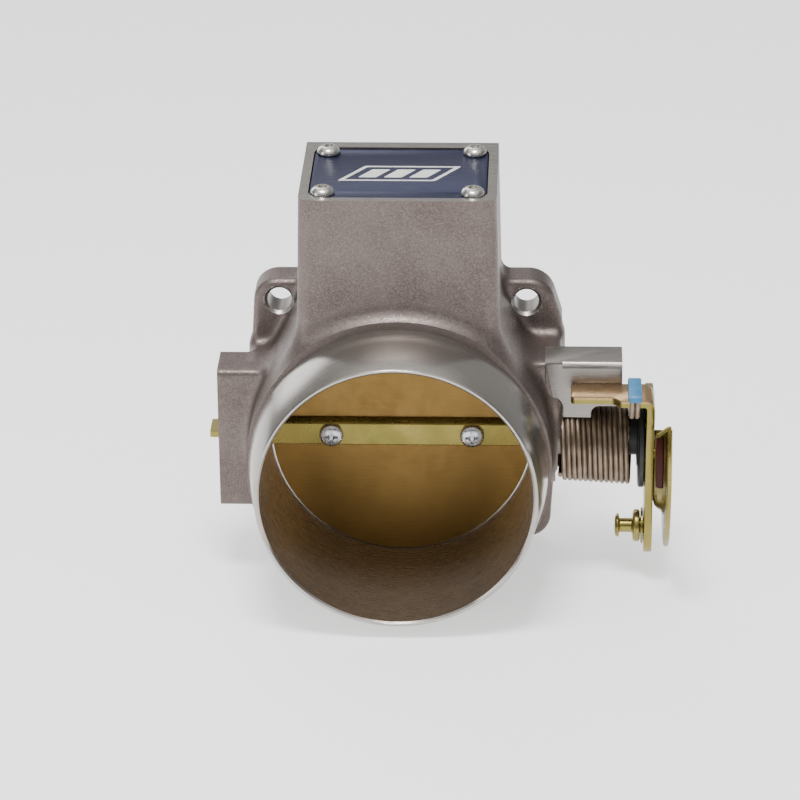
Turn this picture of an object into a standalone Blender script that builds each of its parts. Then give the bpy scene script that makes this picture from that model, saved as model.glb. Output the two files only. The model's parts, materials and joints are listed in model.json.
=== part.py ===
"""Cable-operated throttle body for a petrol engine, 80 mm bore.

Frame: the origin is where the bore axis meets the flange's back face.  +Y runs along the
bore towards the engine, +Z is up, and the throttle shaft lies along X with its cable lever
at +X.  Lengths below are in millimetres and become metres when a mesh is made.
"""

import math

import bmesh
import bpy
from mathutils import Matrix, Vector

MM = 0.001
GAP = 0.3                      # clearance left between neighbouring pieces

# ---- driving dimensions -------------------------------------------------------------------
PLATE_DIAMETER = 80.0
BORE_RADIUS = PLATE_DIAMETER / 2 + GAP
MOUTH_RADIUS = BORE_RADIUS + 0.5
RIM_RADIUS = 42.2              # outer edge of the machined inlet rim
NECK_RADIUS = 45.4             # inlet neck where its machined cone ends
BARREL_RADIUS = 46.2           # as-cast barrel behind the neck

SHAFT_Y = -24.5                # shaft axis, ahead of the flange's back face
MOUTH_Y = SHAFT_Y - 50.4
NECK_END_Y = SHAFT_Y - 28.0
FLANGE_THICK = 10.4
OVERRUN = 1.0                  # extra stock that a later cut removes

BOLT_X = 38.0                  # rectangular bolt pattern, half its width and height
BOLT_Z = 37.0
BOLT_HOLE_RADIUS = 3.8
EAR_X = 38.6                   # ear around each bolt hole
EAR_Z = 36.4
EAR_RADIUS = 7.4
EAR_SIDE_X = 47.2              # the flange bulges out to this width between its ears
EAR_SIDE_Z = 17.0
EAR_WIDE_X = 49.0              # the upper right ear runs out to this width
EAR_WIDE_TOP = 30.5
EAR_WIDE_RADIUS = 8.5
SHELF_INNER_X = 30.0           # cast shelves that join the pad and the lug to the flange

TOWER_TOP_Z = 85.0             # idle-air tower
TOWER_HALF_WIDTH = 29.3
TOWER_FOOT_HALF_WIDTH = 30.6
TOWER_FOOT_Z = 28.0
TOWER_FRONT_Y = SHAFT_Y - 25.0
TOWER_CORNER = 4.0
TOWER_FILLET = 7.5             # cast fillet between the tower's front and the neck
COVER_HALF_X = 26.2            # cover plate, sunk into the tower's top
COVER_HALF_Y = 20.9
COVER_Y = SHAFT_Y - 1.2
COVER_CORNER = 4.5
COVER_THICK = 2.0
COVER_SINK = 0.4
GASKET_THICK = 0.8
COVER_SCREW_X = 22.2
COVER_SCREW_Y = 17.2
CHAMBER_FLOOR_Z = 53.0

PAD_X = -56.0                  # throttle position sensor pad on the left
PAD_HALF_Y = 8.0
PAD_HALF_Z = 22.8
PAD_SCREW_Z = 16.5
HUB_FACE_X = 47.9              # right-hand shaft boss
HUB_RADIUS = 15.6
SPIGOT_RADIUS = 7.2
SPIGOT_END_X = 69.5

LUG_END_X = 67.3               # cast stop lug beside the springs
LUG_FRONT = -9.0
LUG_BACK = 4.5
LUG_TOP = 26.5
LUG_UNDER = 12.3
LUG_WEB_X = 58.0
LUG_WEB_UNDER = 8.4
LUG_CHAMFER_DEEP = 1.0
LUG_CHAMFER_TALL = 1.6

SHAFT_RADIUS = 4.75
FLAT_DEPTH = 3.3               # milled front flat, distance from the shaft axis
TANG_END_X = -58.9
TANG_HALF_THICK = 1.0
SHAFT_SHOULDER_X = 74.5        # the lever seats here
SHAFT_END_X = 77.0              # staked flush with the lever's outer face
STUB_RADIUS = 3.9
PLATE_THICK = 1.6
PLATE_TILT = 4.0               # closed angle of the plate, in degrees
PLATE_SCREW_X = 21.6

LEVER_X = 74.6                 # inner face of the bent steel lever
LEVER_THICK = 2.4
LEVER_ARM_X = 51.7
LEVER_ARM_TOP = 20.1
LEVER_ARM_BACK = LUG_FRONT - GAP
LEVER_ARM_FRONT = -19.5
LEVER_TOP_FRONT = -22.2
STUD_Y = -6.0
STUD_Z = -29.1
LEVER_TIP_RADIUS = 8.2

CAM_X = LEVER_X + LEVER_THICK + GAP
CAM_SHEET = 1.4
CAM_OUTER_X = 82.0
CAM_DRUM_RADIUS = 25.5
CAM_RIM_RADIUS = 35.3
CAM_START = 155.0              # cam rim's angular span about the shaft, from +Y towards +Z
CAM_END = 300.0

COIL_START_X = 48.8
COIL_PITCH = 3.2               # advance per turn of one of the two interleaved springs
COIL_END_X = 69.5
COIL_STAGGER = 1.6             # the second spring's coils lie this far along from the first's
COIL_RADIUS = 12.0
WIRE_RADIUS = 0.77
COIL_STEPS = 12                # facets per turn
SAG_START = (-1.0, -2.2)       # the loaded coils hang off the shaft axis, more at the lever
SAG_END = (-1.6, -3.15)
SPRING_ROOM_RADIUS = 13.6      # space cut round the coils
SPRING_SEAT_DEPTH = 0.6

BUSH_FLANGE_RADIUS = 15.8
BUSH_FLANGE_DROP = 1.5         # the bush's flange sits this far below the shaft's axis
BUSH_COLLAR_RADIUS = 10.6
SLEEVE_X = (68.9, 73.0)        # soft sleeve on the spring ends
SLEEVE_THICK = 2.2

BEARING_OUTER = 6.2            # bearing bushes and lip seals on the shaft
BEARING_LEFT = (-55.6, -45.6)
BEARING_RIGHT = (59.0, 69.0)
SEAL_LEFT = (-43.8, -41.4)
SEAL_RIGHT = (41.4, 43.8)

PLATE_SCREW_RADIUS = 1.9       # screws and rivets
COVER_SCREW_RADIUS = 1.7
STUD_RIVET_RADIUS = 2.4
RIVET_RADIUS = 1.8
RIVET_CIRCLE = 13.0
STOP_SCREW_RADIUS = 2.2        # idle stop screw, through the lug
STOP_SCREW_X = 62.8
STOP_SCREW_Z = 17.2

LEDGE_Z = TOWER_TOP_Z - COVER_SINK - COVER_THICK - GASKET_THICK - 2 * GAP
WALL_INNER_X = 38.0            # stock of the side bosses starts here, inside the bore's wall
SHAFT_AT = (0, SHAFT_Y, 0)

ROUND = 32                     # facets of small round pieces
SMALL = 20                     # facets of screws and rivets
BORE_FACETS = 72


# ---- helpers ------------------------------------------------------------------------------
def clear_scene():
    for item in list(bpy.data.objects):
        bpy.data.objects.remove(item)


def make_collection(name):
    made = bpy.data.collections.new(name)
    bpy.context.scene.collection.children.link(made)
    return made


def make_material(name, color, roughness, metallic):
    made = bpy.data.materials.new(name)
    made.use_nodes = True
    shader = made.node_tree.nodes["Principled BSDF"]
    shader.inputs["Base Color"].default_value = (*color, 1.0)
    shader.inputs["Roughness"].default_value = roughness
    shader.inputs["Metallic"].default_value = metallic
    made.diffuse_color = (*color, 1.0)
    return made


def add_object(name, mesh, finish=None):
    """Puts a mesh in the part's collection, or among the cutters when it has no finish."""
    item = bpy.data.objects.new(name, mesh)
    if finish is None:
        CUTTERS.objects.link(item)
        item.hide_render = True
        item.display_type = "WIRE"
    else:
        PARTS.objects.link(item)
        mesh.materials.append(finish)
    return item


AXIS_TURNS = {
    "X": Matrix.Rotation(math.radians(90), 4, "Y"),
    "Y": Matrix.Rotation(math.radians(-90), 4, "X"),
    "Z": Matrix.Identity(4),
}
OUTLINE_TURNS = {
    "X": Matrix(((0, 0, 1, 0), (1, 0, 0, 0), (0, 1, 0, 0), (0, 0, 0, 1))),
    "Y": Matrix(((1, 0, 0, 0), (0, 0, -1, 0), (0, 1, 0, 0), (0, 0, 0, 1))),
    "Z": Matrix.Identity(4),
}


def turned(name, profile, axis, at, finish=None, facets=ROUND, closed=False):
    """A turned piece. profile is (radius, distance along the axis), from the far end back."""
    mesh = bpy.data.meshes.new(name)
    shape = bmesh.new()
    points = [shape.verts.new((radius * MM, 0, along * MM)) for radius, along in profile]
    for first, second in zip(points, points[1:]):
        shape.edges.new((first, second))
    if closed:
        shape.edges.new((points[-1], points[0]))
    shape.to_mesh(mesh)
    shape.free()
    item = add_object(name, mesh, finish)
    item.matrix_world = Matrix.Translation(Vector(at) * MM) @ AXIS_TURNS[axis]
    screw = item.modifiers.new("turn", "SCREW")
    screw.steps = facets
    screw.render_steps = facets
    screw.use_merge_vertices = True
    screw.merge_threshold = 0.00001
    return item


def cylinder(name, radius, low, high, axis, at, finish=None, facets=ROUND):
    """A plain cylinder from low to high along its axis, through the point at."""
    mesh = bpy.data.meshes.new(name)
    shape = bmesh.new()
    bmesh.ops.create_cone(
        shape, cap_ends=True, segments=facets, radius1=radius * MM, radius2=radius * MM,
        depth=(high - low) * MM, matrix=Matrix.Translation((0, 0, (low + high) / 2 * MM)),
    )
    shape.to_mesh(mesh)
    shape.free()
    item = add_object(name, mesh, finish)
    item.matrix_world = Matrix.Translation(Vector(at) * MM) @ AXIS_TURNS[axis]
    return item


def block(name, low, high, finish=None):
    """A box between two corners."""
    low, high = Vector(low), Vector(high)
    mesh = bpy.data.meshes.new(name)
    shape = bmesh.new()
    bmesh.ops.create_cube(shape, size=1.0)
    size = high - low
    bmesh.ops.scale(shape, vec=size * MM, verts=shape.verts)
    bmesh.ops.translate(shape, vec=(low + high) / 2 * MM, verts=shape.verts)
    shape.to_mesh(mesh)
    shape.free()
    return add_object(name, mesh, finish)


def extruded(name, loops, low, high, axis, at=(0, 0, 0), finish=None):
    """A flat outline, with holes after its first loop, pulled from low to high along an axis.

    Outlines are (y, z) for axis X, (x, z) for axis Y and (x, y) for axis Z.
    """
    curve = bpy.data.curves.new(name, "CURVE")
    curve.dimensions = "2D"
    curve.fill_mode = "BOTH"
    curve.extrude = (high - low) / 2 * MM
    for loop in loops:
        spline = curve.splines.new("POLY")
        spline.points.add(len(loop) - 1)
        for point, (u, v) in zip(spline.points, loop):
            point.co = (u * MM, v * MM, 0, 1)
        spline.use_cyclic_u = True
    drawn = bpy.data.objects.new(name + "_outline", curve)
    bpy.context.scene.collection.objects.link(drawn)
    item = mesh_from_curve(name, drawn, finish)
    middle = {"X": (1, 0, 0), "Y": (0, 1, 0), "Z": (0, 0, 1)}[axis]
    shift = Vector(at) * MM + Vector(middle) * (low + high) / 2 * MM
    item.matrix_world = Matrix.Translation(shift) @ OUTLINE_TURNS[axis]
    return item


def mesh_from_curve(name, drawn, finish=None):
    """Turns a curve object into a welded mesh object and removes the curve."""
    bpy.context.view_layer.update()
    seen = drawn.evaluated_get(bpy.context.evaluated_depsgraph_get())
    mesh = bpy.data.meshes.new_from_object(seen)
    shape = bmesh.new()
    shape.from_mesh(mesh)
    bmesh.ops.remove_doubles(shape, verts=shape.verts, dist=0.000001)
    shape.to_mesh(mesh)
    shape.free()
    mesh.name = name
    item = add_object(name, mesh, finish)
    item.matrix_world = drawn.matrix_world
    bpy.data.objects.remove(drawn)
    return item


def wire(name, points, radius, finish):
    """Round wire along a list of points in millimetres."""
    curve = bpy.data.curves.new(name, "CURVE")
    curve.dimensions = "3D"
    curve.bevel_depth = radius * MM
    curve.bevel_resolution = 2
    curve.use_fill_caps = True
    spline = curve.splines.new("POLY")
    spline.points.add(len(points) - 1)
    for point, place in zip(spline.points, points):
        point.co = (*(Vector(place) * MM), 1)
    drawn = bpy.data.objects.new(name + "_path", curve)
    bpy.context.scene.collection.objects.link(drawn)
    return mesh_from_curve(name, drawn, finish)


def combine(item, other, operation, solver="EXACT"):
    """Adds a Boolean modifier: UNION, DIFFERENCE or INTERSECT."""
    change = item.modifiers.new(other.name, "BOOLEAN")
    change.operation = operation
    change.object = other
    change.solver = solver


def arc(center, radius, start, end, steps):
    """Points on an arc, angles in degrees, both ends included."""
    points = []
    for step in range(steps + 1):
        angle = math.radians(start + (end - start) * step / steps)
        points.append((center[0] + radius * math.cos(angle), center[1] + radius * math.sin(angle)))
    return points


def circle(center, radius, steps=ROUND):
    return arc(center, radius, 0, 360, steps)[:-1]


def rounded_rectangle(half_u, half_v, radius, steps=6, center=(0, 0)):
    corners = ((1, 1, 0), (-1, 1, 90), (-1, -1, 180), (1, -1, 270))
    points = []
    for side_u, side_v, start in corners:
        middle = (center[0] + side_u * (half_u - radius), center[1] + side_v * (half_v - radius))
        points += arc(middle, radius, start, start + 90, steps)
    return points


# ---- housing ------------------------------------------------------------------------------
def housing():
    """The one-piece casting: barrel, flange, idle-air tower, sensor pad, hub and stop lug.

    Its fillets run almost tangent into the barrel, which only the manifold solver cuts cleanly.
    """
    body = barrel()
    stocks = (flange, tower, tower_sides, tower_front, sensor_pad, pad_shelf)
    stocks += (shaft_hub, stop_lug, lug_shelf)
    for stock in stocks:
        combine(body, stock(), "UNION", "MANIFOLD")
    for cut in housing_cuts():
        combine(body, cut, "DIFFERENCE", "MANIFOLD")


def barrel():
    profile = [
        (0, OVERRUN), (BARREL_RADIUS, OVERRUN), (BARREL_RADIUS, NECK_END_Y + 2.0),
        (NECK_RADIUS, NECK_END_Y), (RIM_RADIUS, MOUTH_Y), (0, MOUTH_Y),
    ]
    return turned("housing", profile, "Y", (0, 0, 0), CAST, BORE_FACETS)


def flange():
    """Four-bolt flange; the upper right ear is wider and slants in towards its top."""
    outline = [(-EAR_SIDE_X, EAR_SIDE_Z)] + arc((-EAR_X, EAR_Z), EAR_RADIUS, 176, 90, 8)
    outline += arc((BOLT_X + 0.5, EAR_Z - 0.7), EAR_WIDE_RADIUS, 90, 22, 8)
    outline += [(EAR_WIDE_X, EAR_WIDE_TOP), (EAR_WIDE_X, LUG_WEB_UNDER), (EAR_SIDE_X, -EAR_SIDE_Z)]
    outline += arc((EAR_X, -EAR_Z), EAR_RADIUS, -4, -90, 8)
    outline += arc((-EAR_X, -EAR_Z), EAR_RADIUS, -90, -176, 8) + [(-EAR_SIDE_X, -EAR_SIDE_Z)]
    return extruded("flange_stock", [outline], -FLANGE_THICK, OVERRUN, "Y")


def pad_shelf():
    """Cast web that joins the sensor pad's back to the flange."""
    low = (-EAR_SIDE_X + 0.4, SHAFT_Y, -PAD_HALF_Z + 0.2)
    return block("pad_shelf_stock", low, (-SHELF_INNER_X, -FLANGE_THICK + 2.0, PAD_HALF_Z - 0.2))


def lug_shelf():
    """Cast web that joins the lug's root to the flange."""
    low = (SHELF_INNER_X, SHAFT_Y + LUG_FRONT + 0.3, 0.0)
    return block("lug_shelf_stock", low, (EAR_WIDE_X - 0.2, -FLANGE_THICK + 2.0, LUG_TOP - 0.2))


def tower():
    """The tower's block, a little wider at its foot than at its top."""
    middle_y = (TOWER_FRONT_Y + OVERRUN) / 2
    half_y = (OVERRUN - TOWER_FRONT_Y) / 2
    outline = rounded_rectangle(TOWER_HALF_WIDTH, half_y, TOWER_CORNER, 4, (0, middle_y))
    stock = extruded("tower_stock", [outline], TOWER_FOOT_Z, TOWER_TOP_Z, "Z")
    spread = TOWER_FOOT_HALF_WIDTH / TOWER_HALF_WIDTH
    for vertex in stock.data.vertices:
        if vertex.co.z < 0:
            vertex.co.x *= spread
    return stock


def tower_sides():
    """Cast fillets that carry the tower's sides out to the barrel."""
    radius = 26.0
    side = TOWER_FOOT_HALF_WIDTH - 0.5
    top = math.sqrt(BARREL_RADIUS**2 - side**2) + 14.0
    right = arc((side + radius, top), radius, 180, 222, 6)
    left = [(-x, z) for x, z in reversed(right)]
    return extruded("side_fillet_stock", [left + right], TOWER_FRONT_Y + 3.0, -2.0, "Y")


def tower_front():
    """Cast fillet from the tower's front face down to the neck, turned about the bore."""
    radius = TOWER_FILLET
    foot = NECK_RADIUS - 1.2
    profile = [(foot + radius, TOWER_FRONT_Y + 4.0)]
    profile += arc((foot + radius, TOWER_FRONT_Y - radius), radius, 90, 180, 5)
    profile += [(foot - 3.0, TOWER_FRONT_Y - radius), (foot - 3.0, TOWER_FRONT_Y + 4.0)]
    fillet = turned("front_fillet_stock", profile, "Y", (0, 0, 0), facets=BORE_FACETS, closed=True)
    half = TOWER_FOOT_HALF_WIDTH - 1.5
    keep = block("front_fillet_keep", (-half, MOUTH_Y, 20), (half, 0, 70))
    combine(fillet, keep, "INTERSECT")
    return fillet


def sensor_pad():
    middle = (SHAFT_Y, 0)
    outline = rounded_rectangle(PAD_HALF_Y, PAD_HALF_Z, 2.0, 3, middle)
    return extruded("pad_stock", [outline], PAD_X, -35.0, "X")


def shaft_hub():
    """Right-hand boss for the shaft, with the spigot that the springs sit round."""
    profile = [
        (0, SPIGOT_END_X), (SPIGOT_RADIUS, SPIGOT_END_X), (SPIGOT_RADIUS, HUB_FACE_X),
        (HUB_RADIUS, HUB_FACE_X), (HUB_RADIUS, WALL_INNER_X), (0, WALL_INNER_X),
    ]
    return turned("hub_stock", profile, "X", SHAFT_AT)


def stop_lug():
    """Block beside the springs that the lever's arm rests on when the throttle is shut."""
    radius = 2.4
    web_fillet = arc((LUG_WEB_X + radius, LUG_UNDER - radius), radius, 90, 180, 4)
    root = HUB_FACE_X - 0.4
    front = [(WALL_INNER_X, 1.0), (root, 1.0), (root, LUG_WEB_UNDER), (LUG_WEB_X, LUG_WEB_UNDER)]
    front += web_fillet[::-1]
    front += [(LUG_END_X, LUG_UNDER), (LUG_END_X, LUG_TOP), (WALL_INNER_X, LUG_TOP)]
    lug = extruded("lug_stock", [front], SHAFT_Y + LUG_FRONT, SHAFT_Y + LUG_BACK, "Y")
    face, edge = LUG_FRONT, LUG_TOP
    corner = [(face - 1, edge - LUG_CHAMFER_TALL), (face, edge - LUG_CHAMFER_TALL)]
    corner += [(face + LUG_CHAMFER_DEEP, edge), (face + LUG_CHAMFER_DEEP, edge + 1)]
    corner += [(face - 1, edge + 1)]
    chamfer = extruded("lug_chamfer", [corner], HUB_FACE_X + 1.5, LUG_END_X + 2.0, "X", SHAFT_AT)
    combine(lug, chamfer, "DIFFERENCE")
    return lug


def housing_cuts():
    """Everything that is machined or cored out of the casting."""
    cuts = [
        block("flange_facing", (-70, 0, -70), (70, 5, 100)),
        bore_cutter(),
        spring_room_cutter(),
        shaft_bore_cutter(),
        cover_recess_cutter(),
    ]
    cuts += chamber_cutters()
    for side_x in (-1, 1):
        for side_z in (-1, 1):
            name = "bolt_hole_{}_{}".format(side_x, side_z)
            at = (side_x * BOLT_X, 0, side_z * BOLT_Z)
            cuts.append(cylinder(name, BOLT_HOLE_RADIUS, -FLANGE_THICK - 3, 3, "Y", at))
    for index, (x, y) in enumerate(cover_screw_places(), 1):
        name = "cover_screw_hole_{}".format(index)
        cuts.append(cylinder(name, 2.0, TOWER_TOP_Z - 14, TOWER_TOP_Z, "Z", (x, y, 0), facets=SMALL))
    for side, word in ((-1, "low"), (1, "high")):
        at = (0, SHAFT_Y, side * PAD_SCREW_Z)
        cuts.append(cylinder("pad_hole_" + word, 1.7, PAD_X - 2, PAD_X + 11, "X", at, facets=SMALL))
    stop_hole_at = (STOP_SCREW_X, SHAFT_Y, STOP_SCREW_Z)
    cuts.append(cylinder("stop_screw_hole", STOP_SCREW_RADIUS + GAP, LUG_FRONT - 2, LUG_BACK + 2, "Y",
                         stop_hole_at, facets=SMALL))
    return cuts


def bore_cutter():
    profile = [
        (0, 10.0), (BORE_RADIUS, 10.0), (BORE_RADIUS, MOUTH_Y + 12.0),
        (MOUTH_RADIUS, MOUTH_Y - 1.0), (0, MOUTH_Y - 1.0),
    ]
    return turned("bore_cutter", profile, "Y", (0, 0, 0), facets=BORE_FACETS)


def spring_room_cutter():
    """Space for the hanging coils, round the spigot that is left standing in it."""
    sag_y = (SAG_START[0] + SAG_END[0]) / 2
    sag_z = (SAG_START[1] + SAG_END[1]) / 2
    start, end = HUB_FACE_X - SPRING_SEAT_DEPTH, LUG_END_X + 2.0
    at = (0, SHAFT_Y + sag_y, sag_z)
    room = cylinder("spring_room_cutter", SPRING_ROOM_RADIUS, start, end, "X", at, facets=40)
    inside = cylinder("spigot_keep", SPIGOT_RADIUS - 0.05, start - 2, end + 2, "X", SHAFT_AT)
    combine(room, inside, "DIFFERENCE")
    return room


def shaft_bore_cutter():
    """Shaft clearance through the bore's walls, with a seat at each end for seal and bearing."""
    clearance = SHAFT_RADIUS + GAP
    seat = BEARING_OUTER + GAP
    profile = [
        (0, SPIGOT_END_X + 2), (seat, SPIGOT_END_X + 2), (seat, SEAL_RIGHT[0] - GAP),
        (clearance, SEAL_RIGHT[0] - GAP), (clearance, SEAL_LEFT[1] + GAP),
        (seat, SEAL_LEFT[1] + GAP), (seat, PAD_X - 2), (0, PAD_X - 2),
    ]
    return turned("shaft_bore_cutter", profile, "X", SHAFT_AT)


def cover_recess_cutter():
    """Shallow pocket in the tower's top that takes the gasket and the cover plate."""
    outline = rounded_rectangle(
        COVER_HALF_X + GAP, COVER_HALF_Y + GAP, COVER_CORNER + GAP, 6, (0, COVER_Y)
    )
    return extruded("cover_recess_cutter", [outline], LEDGE_Z, TOWER_TOP_Z + 2, "Z")


def chamber_cutters():
    """The cored idle-air chamber: its room, its port ahead of the plate and its outlet."""
    reach_x, reach_y = COVER_SCREW_X - 0.4, COVER_SCREW_Y - 0.4
    post = 4.6
    wide = block(
        "chamber_wide", (-reach_x, COVER_Y - reach_y + post, CHAMBER_FLOOR_Z),
        (reach_x, COVER_Y + reach_y - post, TOWER_TOP_Z),
    )
    deep = block(
        "chamber_deep", (-reach_x + post, COVER_Y - reach_y, CHAMBER_FLOOR_Z + 0.5),
        (reach_x - post, COVER_Y + reach_y, TOWER_TOP_Z),
    )
    port = extruded(
        "inlet_port_cutter", [rounded_rectangle(10.0, 4.0, 3.5, 4, (0, TOWER_FRONT_Y + 12.0))],
        34.0, CHAMBER_FLOOR_Z + 3.0, "Z",
    )
    outlet = extruded(
        "outlet_port_cutter", [rounded_rectangle(12.0, 6.0, 4.0, 4, (0, CHAMBER_FLOOR_Z + 9.0))],
        COVER_Y + reach_y - 6.0, 3.0, "Y",
    )
    return [wide, deep, port, outlet]


def cover_screw_places():
    return [(sx * COVER_SCREW_X, COVER_Y + sy * COVER_SCREW_Y) for sy in (-1, 1) for sx in (-1, 1)]


# ---- tower cover --------------------------------------------------------------------------
def cover_parts():
    outline = rounded_rectangle(COVER_HALF_X, COVER_HALF_Y, COVER_CORNER, 6, (0, COVER_Y))
    holes = [circle(place, 2.3, SMALL) for place in cover_screw_places()]
    top = TOWER_TOP_Z - COVER_SINK
    extruded("cover_plate", [outline] + holes, top - COVER_THICK, top, "Z", finish=BLUE)
    inner = rounded_rectangle(COVER_SCREW_X - 5.6, COVER_SCREW_Y - 1.6, 3.0, 4, (0, COVER_Y))
    low = LEDGE_Z + GAP
    extruded("cover_gasket", [outline] + holes + [inner], low, low + GASKET_THICK, "Z", finish=FIBRE)
    for index, (x, y) in enumerate(cover_screw_places(), 1):
        button_screw("cover_screw_{}".format(index), (x, y, top + GAP))


def button_screw(name, at):
    """Button-head screw with a hexagon socket; at is the middle of the head's seat."""
    head, height, length, brim = 3.55, 2.1, 11.0, 0.35
    shank = COVER_SCREW_RADIUS
    dome = []
    for angle in (72, 48, 24, 0):
        turn = math.radians(angle)
        dome.append((head * math.cos(turn), brim + (height - brim) * math.sin(turn)))
    profile = [(0, height), (dome[0][0], height)] + dome[1:] + [(head, 0), (shank, 0)]
    profile += [(shank, -length + 0.6), (shank - 0.6, -length), (0, -length)]
    screw = turned(name, profile, "Z", at, STAINLESS, SMALL)
    socket = cylinder(name + "_socket", 1.45, height - 1.3, height + 1, "Z", at, facets=6)
    combine(screw, socket, "DIFFERENCE")


# ---- throttle shaft and plate --------------------------------------------------------------
def tilted(item):
    """Leans a piece drawn about the origin to the plate's closed angle, on the shaft's axis."""
    lean = Matrix.Rotation(math.radians(PLATE_TILT), 4, "X")
    item.matrix_world = Matrix.Translation(Vector(SHAFT_AT) * MM) @ lean @ item.matrix_world
    return item


def plate_screw_hole(owner, side):
    name = "{}_hole_{}".format(owner, "left" if side < 0 else "right")
    at = (side * PLATE_SCREW_X, 0, 0)
    return tilted(cylinder(name, PLATE_SCREW_RADIUS + GAP, -9, 9, "Y", at, facets=SMALL))


def throttle_shaft():
    """Slotted shaft with a flat tang at the left end and a stepped, staked right end."""
    profile = [
        (0, SHAFT_END_X), (STUB_RADIUS - 0.5, SHAFT_END_X), (STUB_RADIUS, SHAFT_END_X - 0.6),
        (STUB_RADIUS, SHAFT_SHOULDER_X), (SHAFT_RADIUS, SHAFT_SHOULDER_X),
        (SHAFT_RADIUS, TANG_END_X), (0, TANG_END_X),
    ]
    shaft = turned("throttle_shaft", profile, "X", SHAFT_AT, ZINC)
    flat_end = BORE_RADIUS + 1.0
    slot_end = BORE_RADIUS + 0.2
    half_slot = PLATE_THICK / 2 + GAP
    flat = block("shaft_flat", (-flat_end, -9, -9), (flat_end, -FLAT_DEPTH, 9))
    slot = block("shaft_slot", (-slot_end, -half_slot, -9), (slot_end, half_slot, 9))
    combine(shaft, tilted(flat), "DIFFERENCE")
    combine(shaft, tilted(slot), "DIFFERENCE")
    for side in (-1, 1):
        name = "tang_side_{}".format("low" if side < 0 else "high")
        low, high = sorted((side * TANG_HALF_THICK, side * 9.0))
        cut = block(name, (TANG_END_X - 2, SHAFT_Y - 9, low), (PAD_X + 1.0, SHAFT_Y + 9, high))
        combine(shaft, cut, "DIFFERENCE")
        combine(shaft, plate_screw_hole("shaft", side), "DIFFERENCE")


def throttle_plate():
    """Disc that fits the round bore at its closed tilt: its rim stays parallel to the bore."""
    half = PLATE_THICK / 2
    plate = tilted(cylinder(
        "throttle_plate", PLATE_DIAMETER / 2, -half, half, "Y", (0, 0, 0), GOLD, BORE_FACETS
    ))
    lean = math.tan(math.radians(PLATE_TILT))
    for vertex in plate.data.vertices:
        vertex.co.y += vertex.co.z * lean
    for side in (-1, 1):
        combine(plate, plate_screw_hole("plate", side), "DIFFERENCE")


def plate_screw(name, side):
    """Cross-recess pan-head screw that clamps the plate in the shaft's slot."""
    head, height, shank = 3.7, 2.2, PLATE_SCREW_RADIUS
    seat = -FLAT_DEPTH - GAP
    end = SHAFT_RADIUS - 0.6
    profile = [(0, end), (shank - 0.4, end), (shank, end - 0.4), (shank, seat), (head, seat)]
    profile += [(head, seat - 1.1), (head - 0.5, seat - 1.7), (head - 1.4, seat - height)]
    profile += [(0, seat - height)]
    x = side * PLATE_SCREW_X
    screw = tilted(turned(name, profile, "Y", (x, 0, 0), STEEL, SMALL + 4))
    top = seat - height
    for wide, tall in ((2.0, 0.45), (0.45, 2.0)):
        low, high = (x - wide, top - 1.0, -tall), (x + wide, top + 1.3, tall)
        combine(screw, tilted(block(name + "_recess", low, high)), "DIFFERENCE")


# ---- bearings and seals --------------------------------------------------------------------
def ring(name, inner, outer, span, finish, facets=ROUND):
    profile = [(outer, span[1]), (outer, span[0]), (inner, span[0]), (inner, span[1])]
    return turned(name, profile, "X", SHAFT_AT, finish, facets, closed=True)


def bearings_and_seals():
    inner = SHAFT_RADIUS + GAP
    ring("shaft_bearing_left", inner, BEARING_OUTER, BEARING_LEFT, BRONZE)
    ring("shaft_bearing_right", inner, BEARING_OUTER, BEARING_RIGHT, BRONZE)
    ring("shaft_seal_left", inner, BEARING_OUTER, SEAL_LEFT, RUBBER)
    ring("shaft_seal_right", inner, BEARING_OUTER, SEAL_RIGHT, RUBBER)


# ---- lever side ----------------------------------------------------------------------------
def throttle_lever():
    """Steel strip bent over at the top: a plate across the shaft and an arm that meets the lug."""
    tip = (STUD_Y, STUD_Z)
    outline = [(LEVER_TOP_FRONT, LEVER_ARM_TOP), (LEVER_TOP_FRONT + 0.4, 13.0), (-16.5, 2.0)]
    outline += arc(tip, LEVER_TIP_RADIUS, 183, 350, 14)
    outline += [(5.0, -19.0)]
    outline += arc((0, 0), 15.0, -45, 75, 10)
    outline += [(-5.0, 18.0), (LEVER_ARM_BACK, LEVER_ARM_TOP)]
    lever = extruded("throttle_lever", [outline], LEVER_X, LEVER_X + LEVER_THICK, "X", SHAFT_AT, ZINC)
    arm_outline = [
        (LEVER_X + 1.0, SHAFT_Y + LEVER_ARM_BACK), (LEVER_ARM_X + 1.5, SHAFT_Y + LEVER_ARM_BACK),
        (LEVER_ARM_X, SHAFT_Y + LEVER_ARM_BACK - 1.5), (LEVER_ARM_X, SHAFT_Y + LEVER_ARM_FRONT + 0.6),
        (LEVER_ARM_X + 0.6, SHAFT_Y + LEVER_ARM_FRONT), (64.5, SHAFT_Y + LEVER_ARM_FRONT),
        (66.7, SHAFT_Y + LEVER_TOP_FRONT), (LEVER_X + 1.0, SHAFT_Y + LEVER_TOP_FRONT),
    ]
    arm = extruded(
        "lever_arm_stock", [arm_outline], LEVER_ARM_TOP - LEVER_THICK, LEVER_ARM_TOP, "Z"
    )
    combine(lever, arm, "UNION")
    combine(lever, bend_cutter(), "DIFFERENCE")
    cuts = [cylinder("lever_shaft_hole", STUB_RADIUS + GAP, 70, 80, "X", SHAFT_AT)]
    cuts.append(cylinder("lever_stud_hole", STUD_RIVET_RADIUS + GAP, 70, 80, "X",
                         (0, SHAFT_Y + STUD_Y, STUD_Z), facets=SMALL))
    for index, (y, z) in enumerate(rivet_places(), 1):
        cuts.append(cylinder("lever_rivet_hole_{}".format(index), RIVET_RADIUS + GAP, 70, 80, "X",
                             (0, SHAFT_Y + y, z), facets=SMALL))
    for cut in cuts:
        combine(lever, cut, "DIFFERENCE")


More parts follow.
